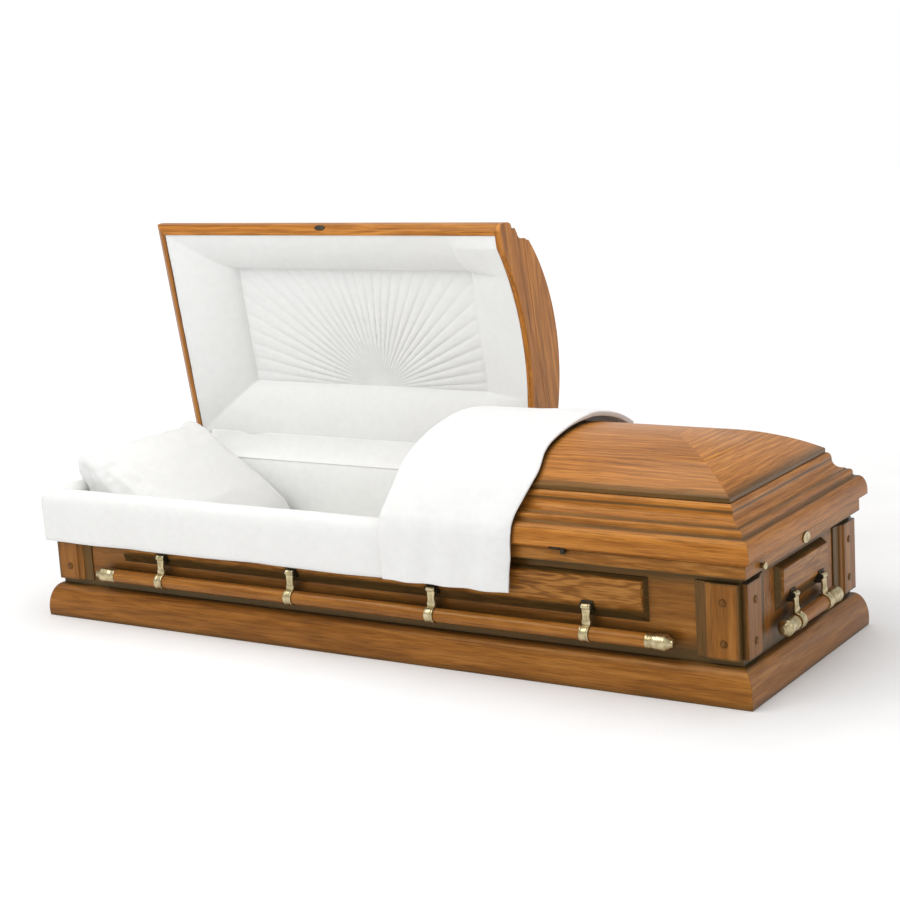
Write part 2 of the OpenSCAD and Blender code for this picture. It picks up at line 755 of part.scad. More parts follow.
base_board_x();  // base_front
to_back() base_board_x();  // base_back
base_board_y();  // base_foot
to_head() base_board_y();  // base_head
case();
rail_board_x();  // rail_front
rail_back();
rail_board_y();  // rail_foot
to_head() rail_board_y();  // rail_head
long_panel();  // panel_front
to_back() long_panel();  // panel_back
end_panel();  // panel_foot
to_head() end_panel();  // panel_head
front_post();  // post_front_foot
to_head() front_post();  // post_front_head
to_back() front_post();  // post_back_foot
to_back() to_head() front_post();  // post_back_head
foot_post();  // post_foot_front
to_back() foot_post();  // post_foot_back
to_head() foot_post();  // post_head_front
to_head() to_back() foot_post();  // post_head_back
front_lug(1);  // lug_front_1
front_lug(2);  // lug_front_2
front_lug(3);  // lug_front_3
front_lug(4);  // lug_front_4
to_back() front_lug(1);  // lug_back_1
to_back() front_lug(2);  // lug_back_2
to_back() front_lug(3);  // lug_back_3
to_back() front_lug(4);  // lug_back_4
foot_lug(1);  // lug_foot_1
foot_lug(2);  // lug_foot_2
to_head() foot_lug(1);  // lug_head_1
to_head() foot_lug(2);  // lug_head_2
handle(long_half, long_arms);  // handle_front
to_back() handle(long_half, long_arms);  // handle_back
to_foot() handle(end_half, end_arms);  // handle_foot
to_head() to_foot() handle(end_half, end_arms);  // handle_head
key_cover();
key_knob();
case_leaf();  // hinge_case_leaf
lid_front(foot_lid_x0 + header_thick);  // foot_lid_front
lid_back(foot_lid_x0, foot_leaf_x0);  // foot_lid_back
lid_end();  // foot_lid_end
header(foot_lid_x0, foot_lid_x0);  // foot_lid_header
crown(foot_lid_x0 + header_thick);  // foot_lid_crown
foot_latch();  // foot_lid_latch
lid_leaf(foot_leaf_x0);  // foot_lid_hinge_leaf
head_part() lid_front(head_lid_x0 + header_thick);  // head_lid_front
head_part() lid_back(head_lid_x0, head_leaf_x0);  // head_lid_back
head_part() lid_end();  // head_lid_end
head_part() header(head_lid_x0, head_lid_x0);  // head_lid_header
head_part() crown(head_lid_x0 + header_thick);  // head_lid_crown
opened() head_latch();  // head_lid_latch
head_part() lid_leaf(head_leaf_x0);  // head_lid_hinge_leaf
case_lining();
head_part() head_lining();  // head_lid_lining
foot_lining();  // foot_lid_lining
pillow();
apron();
throw();
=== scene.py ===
import bpy, bmesh, math, random
from mathutils import Matrix, Vector, noise


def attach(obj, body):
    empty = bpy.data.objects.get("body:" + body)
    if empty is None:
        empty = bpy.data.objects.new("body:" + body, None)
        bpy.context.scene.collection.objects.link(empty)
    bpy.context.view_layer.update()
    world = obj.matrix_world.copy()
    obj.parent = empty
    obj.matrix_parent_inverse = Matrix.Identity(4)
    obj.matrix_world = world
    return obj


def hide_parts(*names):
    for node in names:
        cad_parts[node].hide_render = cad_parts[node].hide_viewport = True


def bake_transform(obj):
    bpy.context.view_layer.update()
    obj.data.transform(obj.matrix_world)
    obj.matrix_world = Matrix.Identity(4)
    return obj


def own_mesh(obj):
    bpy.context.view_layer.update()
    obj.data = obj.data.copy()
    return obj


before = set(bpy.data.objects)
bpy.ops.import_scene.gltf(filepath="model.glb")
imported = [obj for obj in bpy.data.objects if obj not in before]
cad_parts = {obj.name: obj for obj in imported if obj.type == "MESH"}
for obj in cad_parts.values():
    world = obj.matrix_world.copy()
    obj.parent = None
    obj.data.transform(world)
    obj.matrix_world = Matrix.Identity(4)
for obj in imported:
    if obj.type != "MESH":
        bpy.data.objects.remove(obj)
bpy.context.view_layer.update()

random.seed(11)
scene = bpy.context.scene

# ---------------------------------------------------------------- sizes (m), as in the CAD
HL, HW = 1.055, 0.354
RAIL = 0.326
HINGE = Vector((0.0, 0.3395, RAIL))
LID_ANGLE = math.radians(81)    # how far the head lid stands open at rest
OPEN = Matrix.Translation(HINGE) @ Matrix.Rotation(-LID_ANGLE, 4, "X") @ Matrix.Translation(-HINGE)
CROWN_CZ, CROWN_R = 0.04066, 0.50534
ARCH_R, ARCH_CZ = 0.67894, 0.392 - 0.67894


def lerp(a, b, t):
    return a + (b - a) * t


def smooth(t):
    t = min(1.0, max(0.0, t))
    return t * t * (3 - 2 * t)


def nz(x, y, z=0.0):
    return noise.noise(Vector((x, y, z)))


# ---------------------------------------------------------------- materials
class Nodes:
    """Short hands for building a material's node tree."""

    def __init__(self, name):
        self.mat = bpy.data.materials.new(name)
        self.mat.use_nodes = True
        self.t = self.mat.node_tree
        self.b = self.t.nodes["Principled BSDF"]
        self.obj = self.t.nodes.new("ShaderNodeTexCoord").outputs["Object"]

    def new(self, kind, **props):
        n = self.t.nodes.new("ShaderNode" + kind)
        for k, v in props.items():
            setattr(n, k, v)
        return n

    def link(self, a, b):
        self.t.links.new(a, b)

    def mapping(self, scale, rot=(0, 0, 0), loc=(0, 0, 0), src=None):
        m = self.new("Mapping")
        m.inputs["Scale"].default_value = scale
        m.inputs["Rotation"].default_value = rot
        m.inputs["Location"].default_value = loc
        self.link(src or self.obj, m.inputs["Vector"])
        return m.outputs[0]

    def shut(self):
        """Where an open lid's points lie when it is shut."""
        turn = Matrix.Rotation(LID_ANGLE, 4, "X")
        return self.mapping((1, 1, 1), rot=(LID_ANGLE, 0, 0), loc=HINGE - turn @ HINGE)

    def step(self, value, lo, hi):
        """0 at lo, 1 at hi, eased in between."""
        m = self.new("MapRange", interpolation_type="SMOOTHSTEP")
        self.link(value, m.inputs["Value"])
        m.inputs["From Min"].default_value = lo
        m.inputs["From Max"].default_value = hi
        return m.outputs[0]

    def noise(self, vec, scale, detail=4, rough=0.55, distort=0.0):
        n = self.new("TexNoise")
        n.inputs["Scale"].default_value = scale
        n.inputs["Detail"].default_value = detail
        n.inputs["Roughness"].default_value = rough
        n.inputs["Distortion"].default_value = distort
        self.link(vec, n.inputs["Vector"])
        return n.outputs["Fac"]

    def ramp(self, fac, stops):
        r = self.new("ValToRGB")
        e = r.color_ramp.elements
        while len(e) < len(stops):
            e.new(0.5)
        for el, (p, c) in zip(e, stops):
            el.position = p
            el.color = (*c, 1) if len(c) == 3 else c
        self.link(fac, r.inputs[0])
        return r.outputs[0]

    def mix(self, fac, a, b, mode="MIX"):
        m = self.new("Mix", data_type="RGBA", blend_type=mode)
        for sock, v in ((m.inputs[0], fac), (m.inputs[6], a), (m.inputs[7], b)):
            if hasattr(v, "links"):
                self.link(v, sock)
            else:
                sock.default_value = v if isinstance(v, float) else (*v, 1)
        return m.outputs[2]

    def math(self, op, a, b=0.0):
        m = self.new("Math", operation=op)
        for sock, v in zip(m.inputs, (a, b)):
            if hasattr(v, "links"):
                self.link(v, sock)
            else:
                sock.default_value = v
        return m.outputs[0]

    def bump(self, height, strength, dist, normal=None):
        n = self.new("Bump")
        n.inputs["Strength"].default_value = strength
        n.inputs["Distance"].default_value = dist
        self.link(height, n.inputs["Height"])
        if normal is not None:
            self.link(normal, n.inputs["Normal"])
        return n.outputs[0]

    def recess(self, dist):
        """0 in the open, 1 deep in a recess."""
        n = self.new("AmbientOcclusion", samples=6)
        n.inputs["Distance"].default_value = dist
        return self.math("SUBTRACT", 1.0, n.outputs["AO"])


def grain_rotation(direction):
    """Euler angles that turn the given grain direction onto X."""
    d = Vector(direction).normalized()
    return d.rotation_difference(Vector((1, 0, 0))).to_euler()


def wood(name, direction, seed, light=1.0, shade_amount=0.75, figure=1.0, bands=(), opened=False, hip=False):
    """Hand-rubbed oak: long streaks, cathedral figure, open pores, and painted shade that darkens the colour in
    recesses.
    bands are (measure, unshaded, dark): more painted shade as the measure goes from unshaded to dark."""
    n = Nodes(name)
    src = n.shut() if opened else n.obj
    xyz = n.new("SeparateXYZ")
    n.link(src, xyz.inputs[0])
    x, y, z = xyz.outputs
    ax, ay = n.math("ABSOLUTE", x), n.math("ABSOLUTE", y)
    if hip:         # the end slope's boards run across
        other = n.new("CombineXYZ")
        for sock, v in zip(other.inputs, (y, x, z)):
            n.link(v, sock)
        side = n.math("GREATER_THAN", n.math("SUBTRACT", ax, ay), HL - HW)
        vm = n.new("Mix", data_type="VECTOR")
        n.link(side, vm.inputs[0])
        n.link(src, vm.inputs[4])
        n.link(other.outputs[0], vm.inputs[5])
        src = vm.outputs[1]
    rot = grain_rotation(direction)
    base = n.mapping((1, 1, 1), rot=rot, loc=(seed * 1.37, seed * 0.61, seed * 0.29), src=src)
    long_ = n.mapping((1.0, 8.0, 8.0), src=base)
    wob = n.noise(long_, 1.3, 3, 0.55, 0.8)
    fig = n.new("TexWave", wave_type="BANDS", bands_direction="Y")
    fig.inputs["Scale"].default_value = 2.6
    fig.inputs["Distortion"].default_value = 16.0 * figure
    fig.inputs["Detail"].default_value = 4.0
    fig.inputs["Detail Scale"].default_value = 0.6
    fig.inputs["Detail Roughness"].default_value = 0.6
    n.link(long_, fig.inputs["Vector"])
    streak = n.noise(n.mapping((2.4, 75, 75), src=base), 1.0, 8, 0.66, 0.25)
    fine = n.noise(n.mapping((11, 520, 520), src=base), 1.0, 4, 0.65)
    broad = n.noise(n.mapping((0.9, 4, 4), src=base), 1.6, 2, 0.5)
    a = n.math("MULTIPLY", fig.outputs["Fac"], 0.10 * figure)
    b = n.math("ADD", n.math("MULTIPLY", streak, 0.42), 0.07)
    c = n.math("MULTIPLY", wob, 0.22)
    d = n.math("MULTIPLY", broad, 0.20)
    tone = n.math("ADD", n.math("ADD", a, b), n.math("ADD", c, d))
    col = n.ramp(tone, [
        (0.36, (0.132 * light, 0.043 * light, 0.0060 * light)),
        (0.46, (0.245 * light, 0.084 * light, 0.0120 * light)),
        (0.57, (0.345 * light, 0.128 * light, 0.0200 * light)),
        (0.72, (0.510 * light, 0.218 * light, 0.0470 * light))])
    pores = n.ramp(fine, [(0.38, (0.42, 0.36, 0.28)), (0.50, (1, 1, 1))])
    col = n.mix(0.74, col, pores, "MULTIPLY")
    # painted shade: ambient occlusion darkens the colour in recesses
    rec = n.ramp(n.recess(0.030), [(0.16, (0, 0, 0)), (0.66, (1, 1, 1))])
    painted_shade = n.math("MULTIPLY", rec, shade_amount)
    patch = n.math("MULTIPLY", n.math("SUBTRACT", n.noise(n.mapping((3, 26, 26), src=base), 1.0, 3), 0.5), 0.5)
    # each band adds painted shade, darker as the measure goes from unshaded to dark
    for what, unshaded, dark in bands:
        if isinstance(what, float):     # a groove at this height
            value = n.math("ABSOLUTE", n.math("SUBTRACT", z, what))
        else:
            value = {"ax": ax, "ay": ay, "z": z}[what]
        g = n.math("MULTIPLY", n.step(value, unshaded, dark), n.math("ADD", patch, 0.84))
        painted_shade = n.math("MAXIMUM", painted_shade, n.math("MULTIPLY", g, min(1.0, shade_amount + 0.05)))
    # the painted shade mixes a dark olive colour into the wood
    col = n.mix(painted_shade, col, (0.030, 0.026, 0.010))
    n.link(col, n.b.inputs["Base Color"])
    n.link(n.ramp(streak, [(0.3, (0.36,) * 3), (0.75, (0.25,) * 3)]), n.b.inputs["Roughness"])
    n.b.inputs["Specular IOR Level"].default_value = 0.42
    n.b.inputs["Specular Tint"].default_value = (1.0, 0.70, 0.38, 1)
    h = n.math("ADD", n.math("MULTIPLY", fine, 0.5), n.math("MULTIPLY", streak, 0.5))
    n.link(n.bump(h, 0.16, 0.0006), n.b.inputs["Normal"])
    return n.mat


def antique_brass(name, dark=False):
    n = Nodes(name)
    big = n.noise(n.mapping((1, 1, 1)), 60, 4, 0.6)
    fine = n.noise(n.mapping((1, 1, 1)), 420, 3, 0.6)
    if dark:
        col = n.ramp(big, [(0.3, (0.014, 0.011, 0.007)), (0.7, (0.052, 0.042, 0.026))])
        n.b.inputs["Metallic"].default_value = 0.6
        lo, hi = 0.36, 0.55
    else:
        col = n.ramp(big, [(0.30, (0.36, 0.29, 0.15)), (0.55, (0.56, 0.47, 0.28)),
                           (0.75, (0.70, 0.61, 0.40))])
        n.b.inputs["Metallic"].default_value = 1.0
        lo, hi = 0.24, 0.42
    rec = n.ramp(n.recess(0.008), [(0.25, (0, 0, 0)), (0.8, (1, 1, 1))])
    col = n.mix(n.math("MULTIPLY", rec, 0.8), col, (0.035, 0.026, 0.012))
    n.link(col, n.b.inputs["Base Color"])
    n.link(n.ramp(fine, [(0.3, (lo,) * 3), (0.7, (hi,) * 3)]), n.b.inputs["Roughness"])
    n.link(n.bump(fine, 0.12, 0.0003), n.b.inputs["Normal"])
    return n.mat


def cloth(name, tint=(0.765, 0.765, 0.755), folds=0.5, rays=False):
    """Off-white crepe: fine weave, soft slubs, broad uneven shading from bumps, and painted shade in creases; rays
    adds the lid's fine pleats, with painted shade along their grooves.
    """
    n = Nodes(name)
    slub = n.noise(n.mapping((1, 1, 1)), 46, 4, 0.6)
    weave = n.noise(n.mapping((1, 1, 1)), 900, 2, 0.6)
    wavy = n.noise(n.mapping((1, 1, 1)), 9, 3, 0.55, 0.4)
    col = n.ramp(slub, [(0.25, tuple(c * 0.955 for c in tint)), (0.75, tint)])
    # painted shade: the colour greys in creases and recesses
    rec = n.ramp(n.recess(0.03), [(0.45, (0, 0, 0)), (1.0, (1, 1, 1))])
    col = n.mix(n.math("MULTIPLY", rec, 0.22), col, (0.50, 0.50, 0.47))
    n.link(col, n.b.inputs["Base Color"])
    n.b.inputs["Roughness"].default_value = 0.88
    n.b.inputs["Specular IOR Level"].default_value = 0.2
    n.b.inputs["Sheen Weight"].default_value = 0.35
    n.b.inputs["Sheen Roughness"].default_value = 0.4
    nrm = n.bump(wavy, folds, 0.006)
    nrm = n.bump(slub, 0.18, 0.0012, nrm)
    if rays:
        xyz = n.new("SeparateXYZ")
        n.link(n.shut(), xyz.inputs[0])
        rx = n.math("SUBTRACT", n.math("MULTIPLY", xyz.outputs[0], -1.0), FAN[0])
        ry = n.math("SUBTRACT", FAN[1], xyz.outputs[1])
        r = n.math("SQRT", n.math("ADD", n.math("MULTIPLY", rx, rx), n.math("MULTIPLY", ry, ry)))
        a = n.math("MULTIPLY", n.math("ARCTAN2", ry, rx), PLEATS / math.pi)
        f = n.math("ABSOLUTE", n.math("SUBTRACT", n.math("MULTIPLY", n.math("FRACT", a), 2.0), 1.0))
        groove = n.math("POWER", f, 5.0)
        # the grooves start near the fan's centre, fade outwards and end at the panel's borders
        g = n.math("MULTIPLY", groove, n.step(r, 0.020, 0.060))
        g = n.math("MULTIPLY", g, n.math("ADD", 0.25, n.math("MULTIPLY", n.step(r, 0.40, 0.16), 0.75)))
        g = n.math("MULTIPLY", g, n.math("MULTIPLY", n.step(ry, 0.006, 0.012), n.step(ry, 0.356, 0.350)))
        g = n.math("MULTIPLY", g, n.math("MULTIPLY", n.step(rx, -0.360, -0.354), n.step(rx, 0.444, 0.438)))
        nrm = n.bump(n.math("MULTIPLY", g, -1.0), 0.55, 0.0028, nrm)
        # painted shade: the colour greys along the pleats' grooves
        n.link(n.mix(n.math("MULTIPLY", g, 0.20), col, (0.45, 0.45, 0.43)), n.b.inputs["Base Color"])
    n.link(n.bump(weave, 0.30, 0.0003, nrm), n.b.inputs["Normal"])
    return n.mat


PLEATS = 34
FAN = (0.411, 0.150)            # centre of the fan of pleats, in a shut lid
# bands of painted shade for the wood: the posts' ends next to the gaps under the rail and above the base, the crown's
# lower edge, and the grooves between the lid's mouldings
POST_ENDS = [("z", 0.112, 0.102), ("z", 0.274, 0.283)]
CROWN_EDGE = [("z", 0.480, 0.459)]
GROOVES = [(0.3868, 0.0050, 0.0010), (0.4060, 0.0040, 0.0008), (0.4345, 0.0050, 0.0010)]
# the bands also paint shade on the base's top under the posts, along the rail's lower edge, on the case under the rail
# and near its foot, and along the panels' bevels and the posts' moulded edges and corners
OAK = {
    "base": wood("oak_base", (1, 0, 0), 1.0, 0.86, 0.85, bands=[("z", 0.078, 0.091)]),
    "base_end": wood("oak_base_end", (0, 1, 0), 2.1, 0.80, 0.85, bands=[("z", 0.078, 0.091)]),
    "rail": wood("oak_rail", (1, 0, 0), 3.3, 0.84, 0.8, 1.6, bands=[("z", 0.303, 0.294)]),
    "rail_end": wood("oak_rail_end", (0, 1, 0), 4.2, 0.80, 0.8, bands=[("z", 0.303, 0.294)]),
    "case": wood("oak_case", (1, 0, 0), 5.7, 0.74, 0.95, bands=[("z", 0.250, 0.296), ("z", 0.150, 0.095)]),
    "panel": wood("oak_panel", (1, 0, 0), 6.4, 0.74, 0.92, 2.4, bands=[("ay", 0.3385, 0.3300)]),
    "panel_end": wood("oak_panel_end", (0, 1, 0), 7.9, 0.70, 0.92, 2.0, bands=[("ax", 1.0395, 1.0300)]),
    "post": wood("oak_post", (0, 0, 1), 8.3, 0.78, 0.9,
                 bands=POST_ENDS + [("ax", 1.010, 1.021), ("ay", 0.3335, 0.3200)]),
    "post_end": wood("oak_post_end", (0, 0, 1), 8.9, 0.70, 0.9, bands=POST_ENDS + [("ax", 1.0345, 1.0210)]),
    "lid": wood("oak_lid", (1, 0, 0), 9.6, 1.24, 0.80, bands=GROOVES),
    "lid_end": wood("oak_lid_end", (0, 1, 0), 10.2, 1.12, 0.80, bands=GROOVES),
    "crown": wood("oak_crown", (1, 0, 0), 11.8, 1.30, 0.90, bands=CROWN_EDGE, hip=True),
    "header": wood("oak_header", (0, 1, 0), 12.4, 1.2),
    "open_lid": wood("oak_open_lid", (1, 0, 0), 9.1, 1.2, 0.80, bands=GROOVES, opened=True),
    "open_crown": wood("oak_open_crown", (1, 0, 0), 11.2, 1.3, 0.90, bands=CROWN_EDGE, opened=True, hip=True),
    "open_end": wood("oak_open_end", (0, 1, 0), 13.1, 1.0, 0.80, bands=GROOVES, opened=True),
    "open_header": wood("oak_open_header", (0, 1, 0), 14.9, 1.32, opened=True),
    "bar": wood("oak_bar", (1, 0, 0), 15.5, 0.90, 0.8),
    "bar_end": wood("oak_bar_end", (0, 1, 0), 16.7, 0.90, 0.8),
    "plug": wood("oak_plug", (0.3, 0.3, 1), 17.3, 0.42, 0.9),
}
BRASS = antique_brass("old_brass_worn")
DARK = antique_brass("dark_metal_worn", dark=True)
CLOTH = cloth("crepe_soft")
CLOTH_LID = cloth("crepe_lid", (0.785, 0.79, 0.78), 0.25)
CLOTH_FAN = cloth("crepe_fan", (0.775, 0.78, 0.77), 0.25, rays=True)
CLOTH_IN = cloth("crepe_inside", (0.83, 0.835, 0.82), 0.6)

# ---------------------------------------------------------------- CAD nodes that stay


def dress(node, mat, bevel=0.0012, segments=2):
    o = bpy.data.objects[node]
    o.data.materials.clear()
    o.data.materials.append(mat)
    weld = o.modifiers.new("weld", "WELD")
    weld.merge_threshold = 0.00002
    if bevel:
        b = o.modifiers.new("ease", "BEVEL")
        b.width = bevel
        b.segments = segments
        b.limit_method = "ANGLE"
        b.angle_limit = math.radians(28)
        b.harden_normals = True


for end, kind in (("front", ""), ("back", ""), ("foot", "_end"), ("head", "_end")):
    dress(f"base_{end}", OAK["base" + kind], 0.002)
    dress(f"rail_{end}", OAK["rail" + kind], 0.001)
    dress(f"panel_{end}", OAK["panel" + kind], 0.0015)
dress("case", OAK["case"], 0.0008)
for a, b in (("front", "foot"), ("front", "head"), ("back", "foot"), ("back", "head")):
    dress(f"post_{a}_{b}", OAK["post"], 0.0016)
    dress(f"post_{b}_{a}", OAK["post_end"], 0.0016)
for lid, pre in (("foot_lid", ""), ("head_lid", "open_")):
    dress(lid + "_front", OAK[pre + "lid"], 0.0012)
    dress(lid + "_back", OAK[pre + "lid"], 0.0012)
    dress(lid + "_end", OAK["open_end" if pre else "lid_end"], 0.0012)
    dress(lid + "_crown", OAK[pre + "crown"], 0.0015)
    dress(lid + "_header", OAK[pre + "header"], 0.0012)
    dress(lid + "_latch", DARK, 0.0006)
    dress(lid + "_hinge_leaf", BRASS, 0.0)
dress("hinge_case_leaf", BRASS, 0.0)
dress("key_cover", BRASS, 0.0008)
dress("key_knob", BRASS, 0.0005)
for side, k in (("front", 4), ("back", 4), ("foot", 2), ("head", 2)):
    for i in range(k):
        dress(f"lug_{side}_{i + 1}", DARK, 0.0012)

# ---------------------------------------------------------------- mesh helpers


def make(name, verts, faces, body, mat):
    """A mesh piece; body is None for one that spans two bodies and stays unattached."""
    me = bpy.data.meshes.new(name)
    me.from_pydata([tuple(v) for v in verts], [], faces)
    me.validate()
    bm = bmesh.new()
    bm.from_mesh(me)
    bmesh.ops.remove_doubles(bm, verts=bm.verts, dist=1e-6)
    bmesh.ops.recalc_face_normals(bm, faces=bm.faces)
    for f in bm.faces:
        f.smooth = True
    bm.to_mesh(me)
    bm.free()
    o = bpy.data.objects.new(name, me)
    scene.collection.objects.link(o)
    me.materials.append(mat)
    if body:
        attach(o, body)
    return o


def apply_modifiers(o):
    """Makes the modifiers' result the piece's own mesh, shaded smooth."""
    dg = bpy.context.evaluated_depsgraph_get()
    new = bpy.data.meshes.new_from_object(o.evaluated_get(dg))
    o.modifiers.clear()
    o.data = new
    for f in new.polygons:
        f.use_smooth = True


def sharpen(o, angle):
    """Marks the edges that stay crisp, those bent by more than angle degrees."""
    bm = bmesh.new()
    bm.from_mesh(o.data)
    lim = math.radians(angle)
    for e in bm.edges:
        e.smooth = not (len(e.link_faces) == 2 and e.calc_face_angle(0) > lim)
    bm.to_mesh(o.data)
    bm.free()


def ring_faces(count, n):
    """Quads between successive rings of n points, and a face that closes each end."""
    faces = []
    for j in range(count - 1):
        for i in range(n):
            faces.append([j * n + i, j * n + (i + 1) % n, (j + 1) * n + (i + 1) % n, (j + 1) * n + i])
    faces.append(list(range(n))[::-1])
    faces.append([(count - 1) * n + i for i in range(n)])
    return faces


def grid_faces(nu, nv):
    out = []
    for i in range(nu - 1):
        for j in range(nv - 1):
            a, b = i * nv + j, (i + 1) * nv + j
            out.append([a, b, b + 1, a + 1])
    return out


class Part:
    """Collects shapes for one mesh."""

    def __init__(self):
        self.v, self.f = [], []

    def add(self, verts, faces):
        k = len(self.v)
        self.v += [Vector(v) for v in verts]
        self.f += [[k + i for i in f] for f in faces]

    def lathe(self, profile, m, n):
        """profile is [(radius, z)] from one pole to the other; m places it; n points go round."""
        verts = []
        for r, z in profile:
            for i in range(n):
                a = 2 * math.pi * i / n
                verts.append(m @ Vector((r * math.cos(a), r * math.sin(a), z)))
        self.add(verts, ring_faces(len(profile), n))

    def loops(self, rings):
        self.add([v for r in rings for v in r], ring_faces(len(rings), len(rings[0])))


# ---------------------------------------------------------------- handles

BAR_R, BAR_Z, PIN_Z = 0.017, 0.134, 0.197
BAR_IN, PIN_IN = 0.005, 0.009        # insets from the base's outer face
TIP_LEN = 0.066                      # metal tip beyond the end of the wooden bar
CLASP_HALF, CLASP_R = 0.012, 0.0208
POLE = 0.0005                        # radius where a turned shape closes


def along_x(x, y, z):
    return Matrix.Translation((x, y, z)) @ Matrix.Rotation(math.pi / 2, 4, "Y")


def round_rect(w, h, r, n=5):
    pts = []
    for cx, cy, a0 in ((w - r, h - r, 0), (r - w, h - r, 90), (r - w, r - h, 180), (w - r, r - h, 270)):
        for i in range(n + 1):
            a = math.radians(a0 + 90 * i / n)
            pts.append((cx + r * math.cos(a), cy + r * math.sin(a)))
    return pts


def handle(name, node, half, arms, place, body, grain):
    """Drawn with x along the bar, y = inset and z up; place puts it on its side of the box."""
    y_bar, y_pin = BAR_IN, PIN_IN
    bar = Part()
    end = half - TIP_LEN
    ring = [(POLE, -end), (BAR_R, -end)]
    steps = 40
    ring += [(BAR_R, -end + 2 * end * i / steps) for i in range(1, steps)]
    ring += [(BAR_R, end), (POLE, end)]
    bar.lathe(ring, along_x(0, y_bar, BAR_Z), 48)
    metal = Part()
    tip = [(POLE, -0.002), (0.0178, -0.002), (0.0183, 0.0005), (0.0183, 0.0035), (0.0170, 0.0048),
           (0.0170, 0.0062), (0.0183, 0.0075), (0.0183, 0.0095), (0.0168, 0.0108), (0.0168, 0.0124),
           (0.0178, 0.0140), (0.0184, 0.0220), (0.0192, 0.0320), (0.0198, 0.0420), (0.0200, 0.0450),
           (0.0196, 0.0472), (0.0180, 0.0490), (0.0160, 0.0510), (0.0140, 0.0545), (0.0128, 0.0575),
           (0.0112, 0.0592), (0.0106, 0.0605), (0.0110, 0.0622), (0.0108, 0.0642), (0.0090, 0.0657),
           (0.0050, 0.0662), (POLE, 0.0663)]
    metal.lathe(tip, along_x(end, y_bar, BAR_Z), 64)
    metal.lathe(tip, Matrix.Translation((-end, y_bar, BAR_Z)) @ Matrix.Rotation(-math.pi / 2, 4, "Y"), 64)
    for x in arms:
        # clasp ring with a rolled edge on each side
        w, r0 = CLASP_HALF, CLASP_R
        prof = [(BAR_R - 0.0005, -w), (r0 - 0.0008, -w), (r0, -w + 0.001), (r0, -w + 0.0028),
                (r0 - 0.0014, -w + 0.0042), (r0 - 0.0016, -0.004), (r0 - 0.0013, 0.0), (r0 - 0.0016, 0.004),
                (r0 - 0.0014, w - 0.0042), (r0, w - 0.0028), (r0, w - 0.001), (r0 - 0.0008, w),
                (BAR_R - 0.0005, w)]
        metal.lathe(prof, along_x(x, y_bar, BAR_Z), 56)
        # arm: a waisted, domed plate from the clasp up to the knuckle
        ym = (y_bar + y_pin) / 2
        stations = [(0.148, 0.0112, 0.0048), (0.156, 0.0116, 0.0050), (0.160, 0.0120, 0.0056),
                    (0.163, 0.0120, 0.0054), (0.1655, 0.0102, 0.0040), (0.174, 0.0094, 0.0036),
                    (0.183, 0.0104, 0.0036), (0.188, 0.0112, 0.0042), (0.192, 0.0114, 0.0050)]
        rings = []
        for z, hw, ht in stations:
            pts = round_rect(hw, ht, min(hw, ht) * 0.75)
            yy = lerp(ym, y_pin, smooth((z - 0.183) / 0.009))
            rings.append([Vector((x + a, yy + b, z)) for a, b in pts])
        metal.loops(rings)
        # raised middle rib on the outer face
        rib = []
        for z, hw, ht in ((0.164, 0.0010, 0.0006), (0.167, 0.0036, 0.0014), (0.176, 0.0030, 0.0012),
                          (0.185, 0.0012, 0.0006)):
            rib.append([Vector((x + a, ym - 0.0036 + b, z)) for a, b in round_rect(hw, ht, ht * 0.9)])
        metal.loops(rib)
        knuckle = [(0.0032, -w), (0.0068, -w), (0.0077, -w + 0.0009), (0.0080, -w + 0.0022), (0.0080, -w + 0.0040),
                   (0.0076, -w + 0.0048), (0.0076, w - 0.0048), (0.0080, w - 0.0040), (0.0080, w - 0.0022),
                   (0.0077, w - 0.0009), (0.0068, w), (0.0032, w)]
        metal.lathe(knuckle, along_x(x, y_pin, PIN_Z), 44)
    for p in (bar, metal):
        p.v = [place(v) for v in p.v]
    o1 = make(name + "_bar", bar.v, bar.f, body, OAK[grain])
    o2 = make(name + "_metal", metal.v, metal.f, body, BRASS)
    sharpen(o1, 60)
    sharpen(o2, 42)
    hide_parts(node)
    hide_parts(node)


LONG = [(-1.5 + i) * 0.427 for i in range(4)]
END = [-0.084, 0.084]
handle("front_handle", "handle_front", 0.8655, LONG, lambda v: Vector((v.x, v.y - HW, v.z)), "front_handle", "bar")
handle("back_handle", "handle_back", 0.8655, LONG, lambda v: Vector((v.x, HW - v.y, v.z)), "back_handle", "bar")
handle("foot_handle", "handle_foot", 0.171, END, lambda v: Vector((HL - v.y, v.x, v.z)), "foot_handle", "bar_end")
handle("head_handle", "handle_head", 0.171, END, lambda v: Vector((v.y - HL, v.x, v.z)), "head_handle", "bar_end")

# ---------------------------------------------------------------- wooden plugs in the posts

plugs = Part()
PLUG = [(POLE, -0.004), (0.0096, -0.004), (0.0096, 0.0002), (0.0088, 0.0012), (0.0080, 0.0006),
        (0.0072, 0.0004), (0.0066, 0.0014), (0.0040, 0.0023), (POLE, 0.0026)]
for z in (0.237, 0.141):
    for s in (-1, 1):
        for t in (-1, 1):
            m = Matrix.Translation((s * 0.980, t * 0.334, z)) @ Matrix.Rotation(t * -math.pi / 2, 4, "X")
            plugs.lathe(PLUG, m, 32)
            m = Matrix.Translation((s * 1.035, t * 0.279, z)) @ Matrix.Rotation(s * math.pi / 2, 4, "Y")
            plugs.lathe(PLUG, m, 32)
o = make("post_plugs", plugs.v, plugs.f, "shell", OAK["plug"])
sharpen(o, 50)

# ---------------------------------------------------------------- lid linings

pleat_amp = [random.uniform(0.75, 1.15) for _ in range(PLEATS + 4)]
# a shut lid's lining, for the head lid (-1) and the foot lid (1)
LINING_START = {-1: -0.0945, 1: 0.1335}     # x at the split
